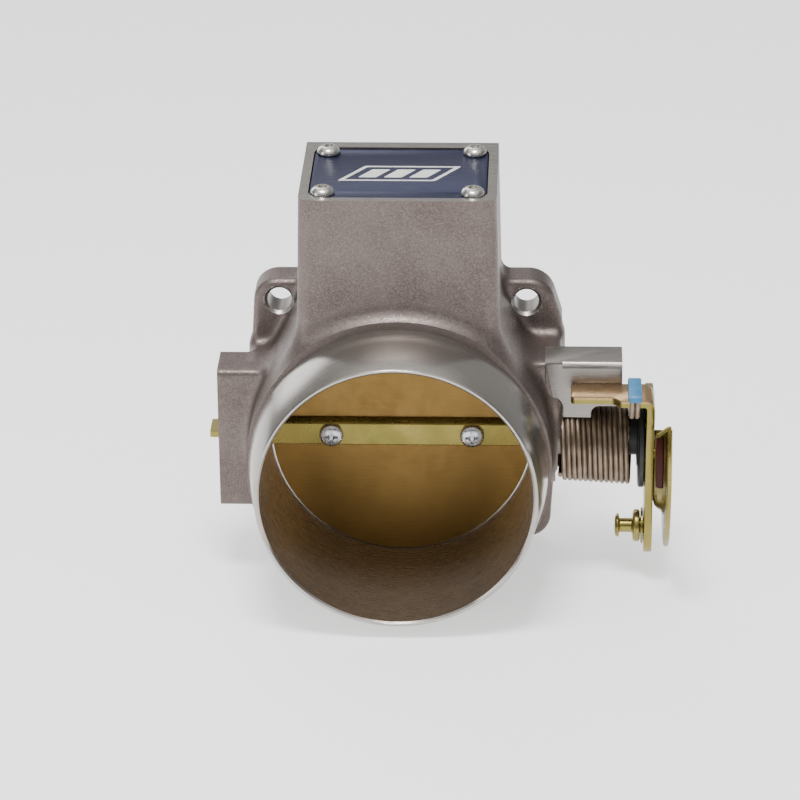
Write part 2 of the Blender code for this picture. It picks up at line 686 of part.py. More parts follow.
def bend_cutter():
    """Takes the square outer corner off the lever's bend, leaving a rounded one."""
    radius = 3.2
    corner = (LEVER_X + LEVER_THICK, LEVER_ARM_TOP)
    middle = (corner[0] - radius, corner[1] - radius)
    outline = arc(middle, radius, 0, 90, 6)
    outline += [(middle[0], corner[1] + 2), (corner[0] + 2, corner[1] + 2)]
    outline += [(corner[0] + 2, middle[1])]
    low, high = SHAFT_Y + LEVER_TOP_FRONT - 2, SHAFT_Y + LEVER_ARM_BACK + 2
    return extruded("lever_bend_cutter", [outline], low, high, "Y")


def rivet_places():
    return arc((0, 0), RIVET_CIRCLE, 185, 285, 2)


def cable_stud():
    """Shouldered stud for the second cable, riveted through the lever's lower end."""
    end, collar = LEVER_X + LEVER_THICK - 0.2, LEVER_X - 1.2
    rivet, shank = STUD_RIVET_RADIUS, STUD_RIVET_RADIUS
    profile = [(0, end), (rivet, end), (rivet, collar), (5.0, collar), (5.0, collar - 1.7)]
    profile += [(4.4, collar - 2.2), (shank, collar - 2.2), (shank, 67.0), (3.7, 66.8)]
    profile += [(3.7, 66.0), (3.3, 65.6), (0, 65.6)]
    at = (0, SHAFT_Y + STUD_Y, STUD_Z)
    turned("cable_stud", profile, "X", at, ZINC, SMALL + 4)
    bore, seat = rivet + GAP, LEVER_X - GAP
    washer = [(5.6, seat), (5.6, seat - 0.6), (bore, seat - 0.6), (bore, seat)]
    turned("stud_washer", washer, "X", at, ZINC, SMALL + 4, closed=True)


def cable_cam():
    """Pressed steel cam: a shallow drum that the cable wraps, and a flat rim that keeps it on."""
    floor_x = CAM_X
    rim_x = CAM_OUTER_X - CAM_SHEET
    drum = CAM_DRUM_RADIUS
    outer = [(drum - 4.0, floor_x), (drum - 2.6, floor_x + 0.5), (drum - 1.8, floor_x + 1.6),
             (drum - 0.6, rim_x - 0.6), (drum + 1.2, rim_x)]
    profile = [(CAM_RIM_RADIUS, CAM_OUTER_X), (CAM_RIM_RADIUS, rim_x)]
    profile += list(reversed(outer)) + [(STUB_RADIUS + GAP, floor_x)]
    profile += [(STUB_RADIUS + GAP, floor_x + CAM_SHEET)]
    profile += [(r - CAM_SHEET * 0.9, x + CAM_SHEET) for r, x in outer[:3]]
    profile += [(drum - 1.6, CAM_OUTER_X - 0.3), (drum - 0.4, CAM_OUTER_X)]
    cam = turned("cable_cam", profile, "X", SHAFT_AT, ZINC, 54, closed=True)
    keep = arc((0, 0), 60.0, CAM_START, CAM_END, 12)
    keep += [(10.0, -12.0), (7.0, -6.0), (-5.0, -1.0), (-8.0, 4.2)]
    wedge = extruded("cam_keep", [keep], 70.0, 90.0, "X", SHAFT_AT)
    combine(cam, wedge, "INTERSECT")
    combine(cam, cam_tab(), "UNION")
    for index, (y, z) in enumerate(rivet_places(), 1):
        cut = cylinder("cam_rivet_hole_{}".format(index), RIVET_RADIUS + GAP, 70, 90, "X",
                       (0, SHAFT_Y + y, z), facets=SMALL)
        combine(cam, cut, "DIFFERENCE")


def cam_tab():
    """Lip at the cam's upper end, bent up towards the lever to hold the cable's nipple."""
    outward = math.radians(CAM_START)
    low = (CAM_X + 0.1, CAM_DRUM_RADIUS - 1.0, -0.1)
    high = (CAM_OUTER_X - 0.2, CAM_RIM_RADIUS - 0.3, 1.4)
    tab = block("cam_tab_stock", low, high)
    turn = Matrix.Rotation(outward, 4, "X")
    for vertex in tab.data.vertices:
        if vertex.co.x < (CAM_X + CAM_SHEET) * MM:
            vertex.co.z -= 2.2 * MM
    tab.matrix_world = Matrix.Translation(Vector(SHAFT_AT) * MM) @ turn
    return tab


def cam_rivets():
    """Rivets from the lever into the cam."""
    for index, (y, z) in enumerate(rivet_places(), 1):
        low, seat = LEVER_X, CAM_X + CAM_SHEET + GAP
        profile = [(0, seat + 1.5), (1.6, seat + 1.4), (2.9, seat + 0.7), (3.2, seat)]
        profile += [(RIVET_RADIUS, seat), (RIVET_RADIUS, low), (0, low)]
        turned("cam_rivet_{}".format(index), profile, "X", (0, SHAFT_Y + y, z), ZINC, SMALL)


def cable_liner():
    """Moulded strip that lines the upper part of the cam's groove."""
    inner, outer = CAM_DRUM_RADIUS, CAM_DRUM_RADIUS + 1.6
    outline = arc((0, 0), outer, CAM_START + 5, CAM_START + 40, 10)
    outline += arc((0, 0), inner, CAM_START + 40, CAM_START + 5, 10)
    low, high = CAM_X + 0.2, CAM_OUTER_X - CAM_SHEET - 0.8
    extruded("cable_liner", [outline], low, high, "X", SHAFT_AT, RED)


def spring_bush():
    """Black nylon thrust bush between the spigot and the lever, with a collar and a flange."""
    seat, face = SPIGOT_END_X + GAP, LEVER_X - GAP
    flange_x, collar_x = face - 1.8, face - 2.2
    profile = [(0, face), (BUSH_COLLAR_RADIUS, face), (BUSH_COLLAR_RADIUS, collar_x)]
    profile += [(SPIGOT_RADIUS, collar_x), (SPIGOT_RADIUS, seat), (0, seat)]
    bush = turned("spring_bush", profile, "X", SHAFT_AT, NYLON)
    at = (0, SHAFT_Y, -BUSH_FLANGE_DROP)
    flange_stock = cylinder("bush_flange", BUSH_FLANGE_RADIUS, flange_x, face, "X", at, facets=40)
    combine(bush, flange_stock, "UNION")
    bore = cylinder("bush_bore", SHAFT_RADIUS + 2 * GAP, seat - 2, face + 2, "X", SHAFT_AT)
    combine(bush, bore, "DIFFERENCE")


def spring_points(end_x):
    """Centre line of one spring, wound towards the lever, with a leg that hooks the arm."""
    hook_y = LEVER_TOP_FRONT - GAP - WIRE_RADIUS
    corner_z = LEVER_ARM_TOP - LEVER_THICK - 2.4
    reach_y, reach_z = hook_y - SAG_END[0], corner_z - SAG_END[1]
    reach = math.hypot(reach_y, reach_z)
    leave = math.atan2(reach_z, reach_y) - math.acos(COIL_RADIUS / reach)
    turns = (end_x - COIL_START_X) / COIL_PITCH
    steps = round(turns * COIL_STEPS)
    points = []
    for step in range(steps + 1):
        share = step / steps
        angle = leave - 2 * math.pi * turns * (1 - share)
        x = COIL_START_X + (end_x - COIL_START_X) * share
        sag_y = SAG_START[0] + (SAG_END[0] - SAG_START[0]) * share
        sag_z = SAG_START[1] + (SAG_END[1] - SAG_START[1]) * share
        y = SHAFT_Y + sag_y + COIL_RADIUS * math.cos(angle)
        points.append((x, y, sag_z + COIL_RADIUS * math.sin(angle)))
    leg_x = end_x + 0.6
    points.append((leg_x - 0.1, SHAFT_Y + hook_y + 1.0, corner_z - 0.3))
    points.append((leg_x, SHAFT_Y + hook_y, corner_z + 0.7))
    points.append((leg_x, SHAFT_Y + hook_y, LEVER_ARM_TOP))
    return points


def return_springs():
    """Two interleaved torsion springs; either one alone can shut the throttle."""
    wire("return_spring_outer", spring_points(COIL_END_X + COIL_STAGGER), WIRE_RADIUS, SPRING)
    wire("return_spring_inner", spring_points(COIL_END_X), WIRE_RADIUS, SPRING)


def spring_sleeve():
    """Soft sleeve on the two spring ends where they lie on top of the lever's arm."""
    low, high = LEVER_ARM_TOP + GAP, LEVER_ARM_TOP + GAP + SLEEVE_THICK
    back, front = LEVER_ARM_BACK - 0.6, LEVER_TOP_FRONT - 2.2
    outline = [(back, low), (back, high - 0.5), (back - 0.5, high)]
    outline += arc((front + 1.4, high - 1.4), 1.4, 90, 180, 4) + [(front, low)]
    extruded("spring_end_sleeve", [outline], *SLEEVE_X, "X", SHAFT_AT, SLEEVE)


def idle_stop():
    """Idle stop screw through the lug, and its lock nut behind it."""
    at = (STOP_SCREW_X, SHAFT_Y, STOP_SCREW_Z)
    profile = [
        (0, LUG_BACK + 12.0), (1.6, LUG_BACK + 12.0), (STOP_SCREW_RADIUS, LUG_BACK + 11.4),
        (STOP_SCREW_RADIUS, LUG_FRONT + 0.8), (1.4, LUG_FRONT), (0, LUG_FRONT),
    ]
    screw = turned("idle_stop_screw", profile, "Y", at, STEEL, SMALL)
    socket = cylinder("stop_screw_socket", 1.2, LUG_BACK + 9.5, LUG_BACK + 14, "Y", at, facets=6)
    combine(screw, socket, "DIFFERENCE")
    low = LUG_BACK + GAP
    nut = cylinder("idle_stop_locknut", 4.6, low, low + 3.2, "Y", at, STEEL, 6)
    bore = STOP_SCREW_RADIUS + GAP
    thread = cylinder("locknut_thread", bore, low - 2, low + 6, "Y", at, facets=SMALL)
    combine(nut, thread, "DIFFERENCE")


# ---- assembly ------------------------------------------------------------------------------
THROTTLE_PIECES = (
    "throttle_shaft", "throttle_plate", "plate_screw_left", "plate_screw_right", "throttle_lever",
    "cable_stud", "stud_washer", "cable_cam", "cable_liner", "cam_rivet_1", "cam_rivet_2",
    "cam_rivet_3", "spring_end_sleeve",
)


def parent_to_axis(names, axis_name, at):
    """Hangs moving pieces from an empty that sits on their joint's axis."""
    axis = bpy.data.objects.new(axis_name, None)
    PARTS.objects.link(axis)
    axis.location = Vector(at) * MM
    bpy.context.view_layer.update()
    for name in names:
        piece = bpy.data.objects[name]
        piece.parent = axis
        piece.matrix_parent_inverse = axis.matrix_world.inverted()


def shade_pieces():
    for item in PARTS.objects:
        if item.type == "MESH":
            item.data.shade_smooth()
            item.data.set_sharp_from_angle(angle=math.radians(35))


clear_scene()
PARTS = make_collection("throttle_body")
CUTTERS = make_collection("cutters")

CAST = make_material("cast_aluminium", (0.42, 0.38, 0.35), 0.45, 0.9)
BLUE = make_material("blue_anodised", (0.05, 0.06, 0.22), 0.35, 0.8)
FIBRE = make_material("gasket_fibre", (0.10, 0.10, 0.09), 0.9, 0.0)
STAINLESS = make_material("stainless", (0.62, 0.60, 0.57), 0.3, 1.0)
STEEL = make_material("bright_zinc_steel", (0.55, 0.56, 0.57), 0.35, 1.0)
ZINC = make_material("yellow_zinc_steel", (0.45, 0.38, 0.15), 0.35, 1.0)
GOLD = make_material("gold_anodised", (0.36, 0.23, 0.06), 0.45, 0.8)
BRONZE = make_material("bronze", (0.45, 0.28, 0.12), 0.4, 1.0)
RUBBER = make_material("seal_rubber", (0.03, 0.03, 0.03), 0.7, 0.0)
NYLON = make_material("black_nylon", (0.02, 0.02, 0.02), 0.5, 0.0)
SPRING = make_material("spring_steel", (0.18, 0.14, 0.11), 0.4, 1.0)
SLEEVE = make_material("blue_sleeve", (0.07, 0.32, 0.45), 0.5, 0.0)
RED = make_material("red_nylon", (0.12, 0.01, 0.005), 0.35, 0.0)

housing()
cover_parts()
throttle_shaft()
throttle_plate()
plate_screw("plate_screw_left", -1)
plate_screw("plate_screw_right", 1)
bearings_and_seals()
throttle_lever()
cable_stud()
cable_cam()
cam_rivets()
cable_liner()
spring_bush()
return_springs()
spring_sleeve()
idle_stop()
parent_to_axis(THROTTLE_PIECES, "throttle_axis", SHAFT_AT)
parent_to_axis(("idle_stop_screw",), "idle_screw_axis", (STOP_SCREW_X, SHAFT_Y, STOP_SCREW_Z))
shade_pieces()
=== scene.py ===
"""Looks of the throttle body: fine pieces, finishes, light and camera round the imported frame.

Lengths are in millimetres in the CAD's own frame, and become metres when a mesh is made.
The origin is where the bore axis meets the flange's back face, +Y runs to the engine, +Z is
up, and the throttle shaft lies along X with its lever at +X.
"""

import json
import math

import bmesh
import bpy
import numpy as np
from mathutils import Matrix, Vector

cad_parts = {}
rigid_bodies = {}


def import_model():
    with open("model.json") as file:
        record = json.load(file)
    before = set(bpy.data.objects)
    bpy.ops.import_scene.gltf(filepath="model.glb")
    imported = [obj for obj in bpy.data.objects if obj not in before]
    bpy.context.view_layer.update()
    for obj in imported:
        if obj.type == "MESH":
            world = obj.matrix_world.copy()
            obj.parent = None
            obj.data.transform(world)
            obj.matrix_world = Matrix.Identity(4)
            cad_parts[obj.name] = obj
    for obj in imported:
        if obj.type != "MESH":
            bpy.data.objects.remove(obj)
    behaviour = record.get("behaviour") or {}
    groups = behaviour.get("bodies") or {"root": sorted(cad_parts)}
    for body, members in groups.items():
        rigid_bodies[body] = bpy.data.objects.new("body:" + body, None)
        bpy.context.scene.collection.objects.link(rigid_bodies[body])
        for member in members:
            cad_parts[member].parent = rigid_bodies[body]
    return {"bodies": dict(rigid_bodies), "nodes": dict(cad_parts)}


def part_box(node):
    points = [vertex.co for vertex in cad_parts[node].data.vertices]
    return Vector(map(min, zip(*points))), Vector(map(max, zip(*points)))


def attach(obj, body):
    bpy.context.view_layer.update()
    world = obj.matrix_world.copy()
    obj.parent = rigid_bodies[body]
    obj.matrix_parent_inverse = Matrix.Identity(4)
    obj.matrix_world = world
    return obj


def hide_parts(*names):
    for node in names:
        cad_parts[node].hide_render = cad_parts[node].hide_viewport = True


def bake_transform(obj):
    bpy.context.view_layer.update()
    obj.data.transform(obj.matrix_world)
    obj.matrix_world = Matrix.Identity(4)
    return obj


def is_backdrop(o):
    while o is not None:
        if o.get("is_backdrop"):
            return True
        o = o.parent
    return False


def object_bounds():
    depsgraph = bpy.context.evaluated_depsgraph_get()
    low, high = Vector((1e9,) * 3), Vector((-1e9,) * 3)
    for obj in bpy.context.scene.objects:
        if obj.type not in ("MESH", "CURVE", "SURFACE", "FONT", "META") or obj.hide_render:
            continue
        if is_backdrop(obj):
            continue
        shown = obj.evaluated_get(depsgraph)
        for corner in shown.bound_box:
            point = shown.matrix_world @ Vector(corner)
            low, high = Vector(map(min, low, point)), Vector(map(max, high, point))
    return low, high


MM = 0.001

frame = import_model()
CAD_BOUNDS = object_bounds()


def box_mm(node):
    low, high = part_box(node)
    return low / MM, high / MM


def middle_of(node):
    low, high = box_mm(node)
    return (low + high) / 2


# ---- places taken from the frame ----
HOUSING_LOW, HOUSING_HIGH = box_mm("housing")
SHAFT_Y = middle_of("shaft_bearing_left").y
MOUTH_Y = HOUSING_LOW.y
TOWER_TOP = HOUSING_HIGH.z
PAD_X = HOUSING_LOW.x
BARREL_RADIUS = -HOUSING_LOW.z
SPIGOT_END_X = HOUSING_HIGH.x
PLATE_RADIUS = box_mm("throttle_plate")[1].x
SHAFT_AT = (0, SHAFT_Y, 0)
LEVER_LOW, LEVER_HIGH = box_mm("throttle_lever")
CAM_LOW, CAM_HIGH = box_mm("cable_cam")
BUSH_LOW, BUSH_HIGH = box_mm("spring_bush")
STUD_LOW, STUD_HIGH = box_mm("cable_stud")
COVER_LOW, COVER_HIGH = box_mm("cover_plate")
COVER_MIDDLE = (COVER_LOW + COVER_HIGH) / 2
GASKET_LOW = box_mm("cover_gasket")[0]

# ---- dimensions that the boxes don't give, as in the CAD ----
GAP = 0.3
BORE_RADIUS = PLATE_RADIUS + GAP
MOUTH_RADIUS = BORE_RADIUS + 0.5
RIM_RADIUS = 42.2
NECK_RADIUS = 45.4
NECK_END_Y = SHAFT_Y - 28.0
FLANGE_THICK = 10.4
BOLT_X, BOLT_Z, BOLT_HOLE_RADIUS = 38.0, 37.0, 3.8
EAR_X, EAR_Z, EAR_RADIUS = 38.6, 36.4, 7.4
EAR_SIDE_X, EAR_SIDE_Z = 47.2, 17.0
EAR_WIDE_X, EAR_WIDE_TOP, EAR_WIDE_RADIUS = 49.0, 30.5, 8.5
TOWER_HALF_WIDTH, TOWER_FOOT_HALF_WIDTH, TOWER_FOOT_Z = 29.3, 30.6, 28.0
TOWER_FRONT_Y = SHAFT_Y - 25.0
TOWER_CORNER = 4.0
TOWER_ROOT_Z, TOWER_FRONT_FILLET, TOWER_SIDE_FILLET = 20.0, 7.5, 10.0
COVER_CORNER = 4.5
CHAMBER_FLOOR_Z = 53.0
PAD_HALF_Y, PAD_HALF_Z, PAD_SCREW_Z = 8.0, 22.8, 16.5
HUB_FACE_X, HUB_RADIUS, SPIGOT_RADIUS = 47.9, 15.6, 7.2
LUG_END_X, LUG_TOP, LUG_UNDER = 67.3, 26.5, 12.3
LUG_WEB_X, LUG_WEB_UNDER = 58.0, 8.4
LUG_FRONT, LUG_BACK = -9.0, 4.5
SHAFT_RADIUS, FLAT_DEPTH, STUB_RADIUS = 4.75, 3.3, 3.9
SHAFT_SHOULDER_X, TANG_HALF_THICK = 74.5, 1.0
PLATE_THICK, PLATE_TILT = 1.6, 4.0
BEARING_OUTER = 6.2
LEVER_THICK, LEVER_BEND = 2.4, 3.2
LEVER_X = LEVER_HIGH.x - LEVER_THICK
ARM_TOP, ARM_X = LEVER_HIGH.z, LEVER_LOW.x
ARM_BACK, ARM_FRONT, TOP_FRONT = LUG_FRONT - GAP, -19.5, -22.2
STUD_Y, STUD_Z, TIP_RADIUS = -6.0, -29.1, 8.2
CAM_DRUM, CAM_RIM, CAM_SHEET = 25.5, 35.3, 1.4
CAM_START, CAM_END = 155.0, 300.0
COIL_START_X, COIL_END_X, COIL_PITCH, COIL_RADIUS, WIRE_RADIUS = 48.8, 69.5, 3.2, 12.0, 0.77
COIL_STAGGER = 1.6
STOCK = 1.5                    # cast stock that the machining takes off
SAG_START, SAG_END = (-1.0, -2.2), (-1.6, -3.15)
SPRING_ROOM_RADIUS = 13.6

# ---- mesh helpers ----
AXES = {"X": (1, 2, 0), "Y": (0, 2, 1), "Z": (0, 1, 2)}      # where (u, v, along) go
OUTLINE_TURNS = {
    "X": Matrix(((0, 0, 1, 0), (1, 0, 0, 0), (0, 1, 0, 0), (0, 0, 0, 1))),
    "Y": Matrix(((1, 0, 0, 0), (0, 0, -1, 0), (0, 1, 0, 0), (0, 0, 0, 1))),
    "Z": Matrix.Identity(4),
}


def add_object(name, data):
    item = bpy.data.objects.new(name, data)
    bpy.context.scene.collection.objects.link(item)
    return item


def turn_faces_out(mesh, weld=None):
    """Makes all faces look outwards, after welding points that are closer than weld."""
    shape = bmesh.new()
    shape.from_mesh(mesh)
    if weld:
        bmesh.ops.remove_doubles(shape, verts=shape.verts, dist=weld)
    bmesh.ops.recalc_face_normals(shape, faces=shape.faces)
    shape.to_mesh(mesh)
    shape.free()


def evaluated_mesh(item):
    """The mesh that an object's curve or modifiers make, with no materials."""
    bpy.context.view_layer.update()
    seen = item.evaluated_get(bpy.context.evaluated_depsgraph_get())
    mesh = bpy.data.meshes.new_from_object(seen)
    mesh.materials.clear()
    return mesh


def arc(center, radius, start, end, steps):
    angles = np.radians(np.linspace(start, end, steps + 1))
    return [(center[0] + radius * math.cos(a), center[1] + radius * math.sin(a)) for a in angles]


def circle(center, radius, steps=48):
    return arc(center, radius, 0, 360, steps)[:-1]


def rounded_rectangle(half_u, half_v, radius, steps=8, center=(0, 0)):
    points = []
    for side_u, side_v, start in ((1, 1, 0), (-1, 1, 90), (-1, -1, 180), (1, -1, 270)):
        at = (center[0] + side_u * (half_u - radius), center[1] + side_v * (half_v - radius))
        points += arc(at, radius, start, start + 90, steps)
    return points


def soften(points, radius, closed=False, steps=3):
    """Rounds the corners of a path; radius is the most that a corner loses along each side."""
    made = []
    count = len(points)
    for index, point in enumerate(points):
        if not closed and index in (0, count - 1):
            made.append(tuple(point))
            continue
        here = Vector(point)
        before, after = Vector(points[index - 1]), Vector(points[(index + 1) % count])
        first = here + (before - here).normalized() * min(radius, (before - here).length * 0.45)
        last = here + (after - here).normalized() * min(radius, (after - here).length * 0.45)
        for step in range(steps + 1):
            t = step / steps
            made.append(tuple(first * (1 - t) ** 2 + here * 2 * t * (1 - t) + last * t * t))
    return made


def lathe(name, profile, axis, at=(0, 0, 0), steps=96, closed=False):
    """Turned piece from (radius, distance along axis) points; an open profile ends on the axis."""
    order = AXES[axis]
    points, rows = [], []
    for radius, along in profile:
        row = []
        for step in range(1 if radius == 0 else steps):
            angle = 2 * math.pi * step / steps
            place = [0, 0, 0]
            local = (radius * math.cos(angle), radius * math.sin(angle), along)
            for value, target in zip(local, order):
                place[target] = value + at[target]
            row.append(len(points))
            points.append(place)
        rows.append(row)
    pairs = list(zip(rows, rows[1:])) + ([(rows[-1], rows[0])] if closed else [])
    faces = []
    for first, second in pairs:
        for step in range(steps):
            after = (step + 1) % steps
            corners = [first[step % len(first)], first[after % len(first)]]
            corners += [second[after % len(second)], second[step % len(second)]]
            unique = list(dict.fromkeys(corners))
            if len(unique) > 2:
                faces.append(unique)
    mesh = bpy.data.meshes.new(name)
    mesh.from_pydata([tuple(c * MM for c in p) for p in points], [], faces)
    turn_faces_out(mesh)
    return add_object(name, mesh)


def extruded(name, loops, low, high, axis, at=(0, 0, 0), edge=0.0):
    """Flat outline with holes, pulled from low to high along an axis, with its edges rounded."""
    curve = bpy.data.curves.new(name, "CURVE")
    curve.dimensions = "2D"
    curve.fill_mode = "BOTH"
    curve.extrude = ((high - low) / 2 - edge) * MM
    curve.bevel_depth = edge * MM
    curve.bevel_resolution = 1
    curve.offset = -edge * MM
    for loop in loops:
        spline = curve.splines.new("POLY")
        spline.points.add(len(loop) - 1)
        for point, (u, v) in zip(spline.points, loop):
            point.co = (u * MM, v * MM, 0, 1)
        spline.use_cyclic_u = True
    item = from_curve(name, curve)
    along = {"X": (1, 0, 0), "Y": (0, 1, 0), "Z": (0, 0, 1)}[axis]
    shift = (Vector(at) + Vector(along) * (low + high) / 2) * MM
    item.data.transform(Matrix.Translation(shift) @ OUTLINE_TURNS[axis])
    return item


def from_curve(name, curve):
    """Turns a curve into a welded mesh object and removes the curve."""
    drawn = add_object(name + "_path", curve)
    mesh = evaluated_mesh(drawn)
    bpy.data.objects.remove(drawn)
    turn_faces_out(mesh, weld=0.000002)
    return add_object(name, mesh)


def wire(name, points, radius, sides=3):
    curve = bpy.data.curves.new(name, "CURVE")
    curve.dimensions = "3D"
    curve.bevel_depth = radius * MM
    curve.bevel_resolution = sides
    curve.use_fill_caps = True
    spline = curve.splines.new("POLY")
    spline.points.add(len(points) - 1)
    for point, place in zip(spline.points, points):
        point.co = (*(Vector(place) * MM), 1)
    return from_curve(name, curve)


def block(name, low, high):
    low, high = Vector(low), Vector(high)
    outline = [(low.x, low.y), (high.x, low.y), (high.x, high.y), (low.x, high.y)]
    return extruded(name, [outline], low.z, high.z, "Z")


def combine(item, tools, operation="DIFFERENCE", solver="EXACT"):
    """Adds, cuts or intersects other solids, which are used up."""
    for tool in tools:
        change = item.modifiers.new(tool.name, "BOOLEAN")
        change.operation = operation
        change.object = tool
        change.solver = solver
    mesh = evaluated_mesh(item)
    item.modifiers.clear()
    item.data = mesh
    for tool in tools:
        bpy.data.objects.remove(tool)
    return item


def tilted(item):
    """Leans a piece drawn about the origin to the plate's closed angle, on the shaft's axis."""
    lean = Matrix.Rotation(math.radians(PLATE_TILT), 4, "X")
    item.data.transform(Matrix.Translation(Vector(SHAFT_AT) * MM) @ lean)
    return item


def shade(item, angle=32):
    item.data.shade_smooth()
    item.data.set_sharp_from_angle(angle=math.radians(angle))


def rider(node):
    """The CAD body that a node rides on."""
    parent = frame["nodes"][node].parent
    return next(name for name, empty in frame["bodies"].items() if empty == parent)


def place(item, node, slot, *finishes, hides=True):
    """Gives a finished piece its material and the body of the CAD node that it stands for, and
    hides that node unless hides is false.
    """
    for finish in finishes or [FINISHES[slot]]:
        item.data.materials.append(finish)
    shade(item)
    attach(item, rider(node))
    if hides:
        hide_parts(node)
    return item


# ---- materials ----
class Finish:
    """A material under construction: one Principled shader fed by noise in object space."""

    def __init__(self, name, metallic, specular=0.5):
        self.material = bpy.data.materials.new(name)
        self.material.use_nodes = True
        self.tree = self.material.node_tree
        self.shader = self.tree.nodes["Principled BSDF"]
        self.shader.inputs["Metallic"].default_value = metallic
        self.shader.inputs["Specular IOR Level"].default_value = specular
        self.object_space = self.tree.nodes.new("ShaderNodeTexCoord").outputs["Object"]
        self.normal = None

    def link(self, source, target):
        self.tree.links.new(source, target)

    def noise(self, size_mm, stretch=(1, 1, 1), detail=3.0, rough=0.5):
        """Noise whose features are about size_mm, finer along the axes with a larger stretch."""
        scale = self.tree.nodes.new("ShaderNodeMapping")
        scale.inputs["Scale"].default_value = stretch
        self.link(self.object_space, scale.inputs["Vector"])
        made = self.tree.nodes.new("ShaderNodeTexNoise")
        made.inputs["Scale"].default_value = 1 / (size_mm * MM)
        made.inputs["Detail"].default_value = detail
        made.inputs["Roughness"].default_value = rough
        self.link(scale.outputs["Vector"], made.inputs["Vector"])
        return made.outputs["Fac"]

    def remap(self, source, low, high, to_low=0.0, to_high=1.0):
        made = self.tree.nodes.new("ShaderNodeMapRange")
        made.interpolation_type = "SMOOTHSTEP"
        for index, value in enumerate((low, high, to_low, to_high), 1):
            made.inputs[index].default_value = value
        self.link(source, made.inputs[0])
        return made.outputs["Result"]

    def mix(self, factor, first, second):
        """Mixes two colours; each is a tuple or another node's output."""
        made = self.tree.nodes.new("ShaderNodeMix")
        made.data_type = "RGBA"
        self.link(factor, made.inputs["Factor"])
        for socket, value in ((made.inputs[6], first), (made.inputs[7], second)):
            if isinstance(value, tuple):
                socket.default_value = (*value, 1)
            else:
                self.link(value, socket)
        return made.outputs[2]

    def color(self, source):
        self.link(source, self.shader.inputs["Base Color"])

    def roughness(self, source, low, high):
        self.link(self.remap(source, 0.3, 0.7, low, high), self.shader.inputs["Roughness"])

    def bump(self, source, depth_mm, strength=1.0):
        made = self.tree.nodes.new("ShaderNodeBump")
        made.inputs["Strength"].default_value = strength
        made.inputs["Distance"].default_value = depth_mm * MM
        self.link(source, made.inputs["Height"])
        if self.normal is not None:
            self.link(self.normal, made.inputs["Normal"])
        self.normal = made.outputs["Normal"]
        self.link(self.normal, self.shader.inputs["Normal"])

    def coordinate(self, axis):
        made = self.tree.nodes.new("ShaderNodeSeparateXYZ")
        self.link(self.object_space, made.inputs[0])
        return made.outputs["XYZ".index(axis)]


def cast_finish():
    """Sand-cast aluminium, tumbled: fine orange peel with small bright and dark grains."""
    made = Finish("cast_aluminium", 0.85)
    cloud = made.remap(made.noise(14.0), 0.3, 0.7)
    tone = made.mix(cloud, (0.115, 0.09, 0.082), (0.15, 0.122, 0.112))
    grain = made.remap(made.noise(0.35, detail=3.0, rough=0.7), 0.4, 0.8)
    made.color(made.mix(grain, tone, (0.235, 0.196, 0.18)))
    made.roughness(made.noise(0.8), 0.38, 0.56)
    made.bump(made.noise(1.4, detail=4.0, rough=0.6), 0.2, 0.5)
    made.bump(made.noise(0.4, detail=2.0), 0.07, 0.5)
    return made.material


def machined_finish(name, stretch, size, tones, roughness, depth):
    """Cut aluminium whose tool marks run along the axes with a small stretch."""
    made = Finish(name, 0.9)
    marks = made.noise(size, stretch, detail=3.0)
    made.color(made.mix(made.remap(marks, 0.35, 0.65), *tones))
    made.roughness(marks, *roughness)
    made.bump(marks, depth, 0.6)
    made.bump(made.noise(1.8), 0.05, 0.25)
    return made.material


def chromate_finish():
    """Yellow chromate on zinc: olive gold, with a painted pinkish highlight along the top of the
    lever's arm.
    """
    made = Finish("yellow_zinc_steel", 0.9)
    drift = made.remap(made.noise(14.0, detail=1.0), 0.35, 0.65)
    tone = made.mix(drift, (0.215, 0.183, 0.047), (0.275, 0.222, 0.063))
    # Painted highlight: colour near the arm's top height is mixed towards a lighter pink, standing
    # in for the overhead light on that face.
    painted_top_highlight = made.remap(made.coordinate("Z"), (ARM_TOP - 1.4) * MM, (ARM_TOP - 0.3) * MM, 0.0, 0.85)
    made.color(made.mix(painted_top_highlight, tone, (0.5, 0.32, 0.17)))
    made.roughness(made.noise(5.0, detail=1.0), 0.24, 0.32)
    made.bump(made.noise(0.9), 0.012, 0.3)
    return made.material


def gold_finish():
    """Satin gold chromate of the throttle plate, rolled across its width."""
    made = Finish("gold_plate", 0.75)
    cloud = made.remap(made.noise(16.0, detail=2.0), 0.3, 0.7)
    tone = made.mix(cloud, (0.19, 0.11, 0.026), (0.23, 0.14, 0.036))
    rolled = made.remap(made.noise(0.4, (0.06, 1, 1)), 0.3, 0.7)
    made.color(made.mix(rolled, tone, (0.212, 0.125, 0.032)))
    made.roughness(made.noise(3.0), 0.38, 0.46)
    made.bump(made.noise(0.4, (0.06, 1, 1)), 0.008, 0.25)
    return made.material


def plain_metal(name, first, second, roughness, metallic=0.95, grain=0.5):
    made = Finish(name, metallic)
    made.color(made.mix(made.remap(made.noise(4.0), 0.3, 0.7), first, second))
    made.roughness(made.noise(1.0), *roughness)
    made.bump(made.noise(grain), 0.02, 0.35)
    return made.material


def plastic(name, first, second, roughness, grain=0.4, depth=0.03, specular=0.5):
    made = Finish(name, 0.0, specular)
    made.color(made.mix(made.remap(made.noise(3.0), 0.3, 0.7), first, second))
    made.roughness(made.noise(1.5), *roughness)
    made.bump(made.noise(grain), depth, 0.4)
    return made.material


def blue_finish():
    """Satin blue anodised sheet, brushed along X."""
    made = Finish("blue_anodised", 0.6)
    brushed = made.noise(0.3, (0.05, 1, 1), detail=3.0)
    streaks = made.remap(brushed, 0.3, 0.7)
    made.color(made.mix(streaks, (0.012, 0.0155, 0.048), (0.018, 0.022, 0.064)))
    made.roughness(brushed, 0.32, 0.46)
    made.bump(brushed, 0.015, 0.4)
    return made.material


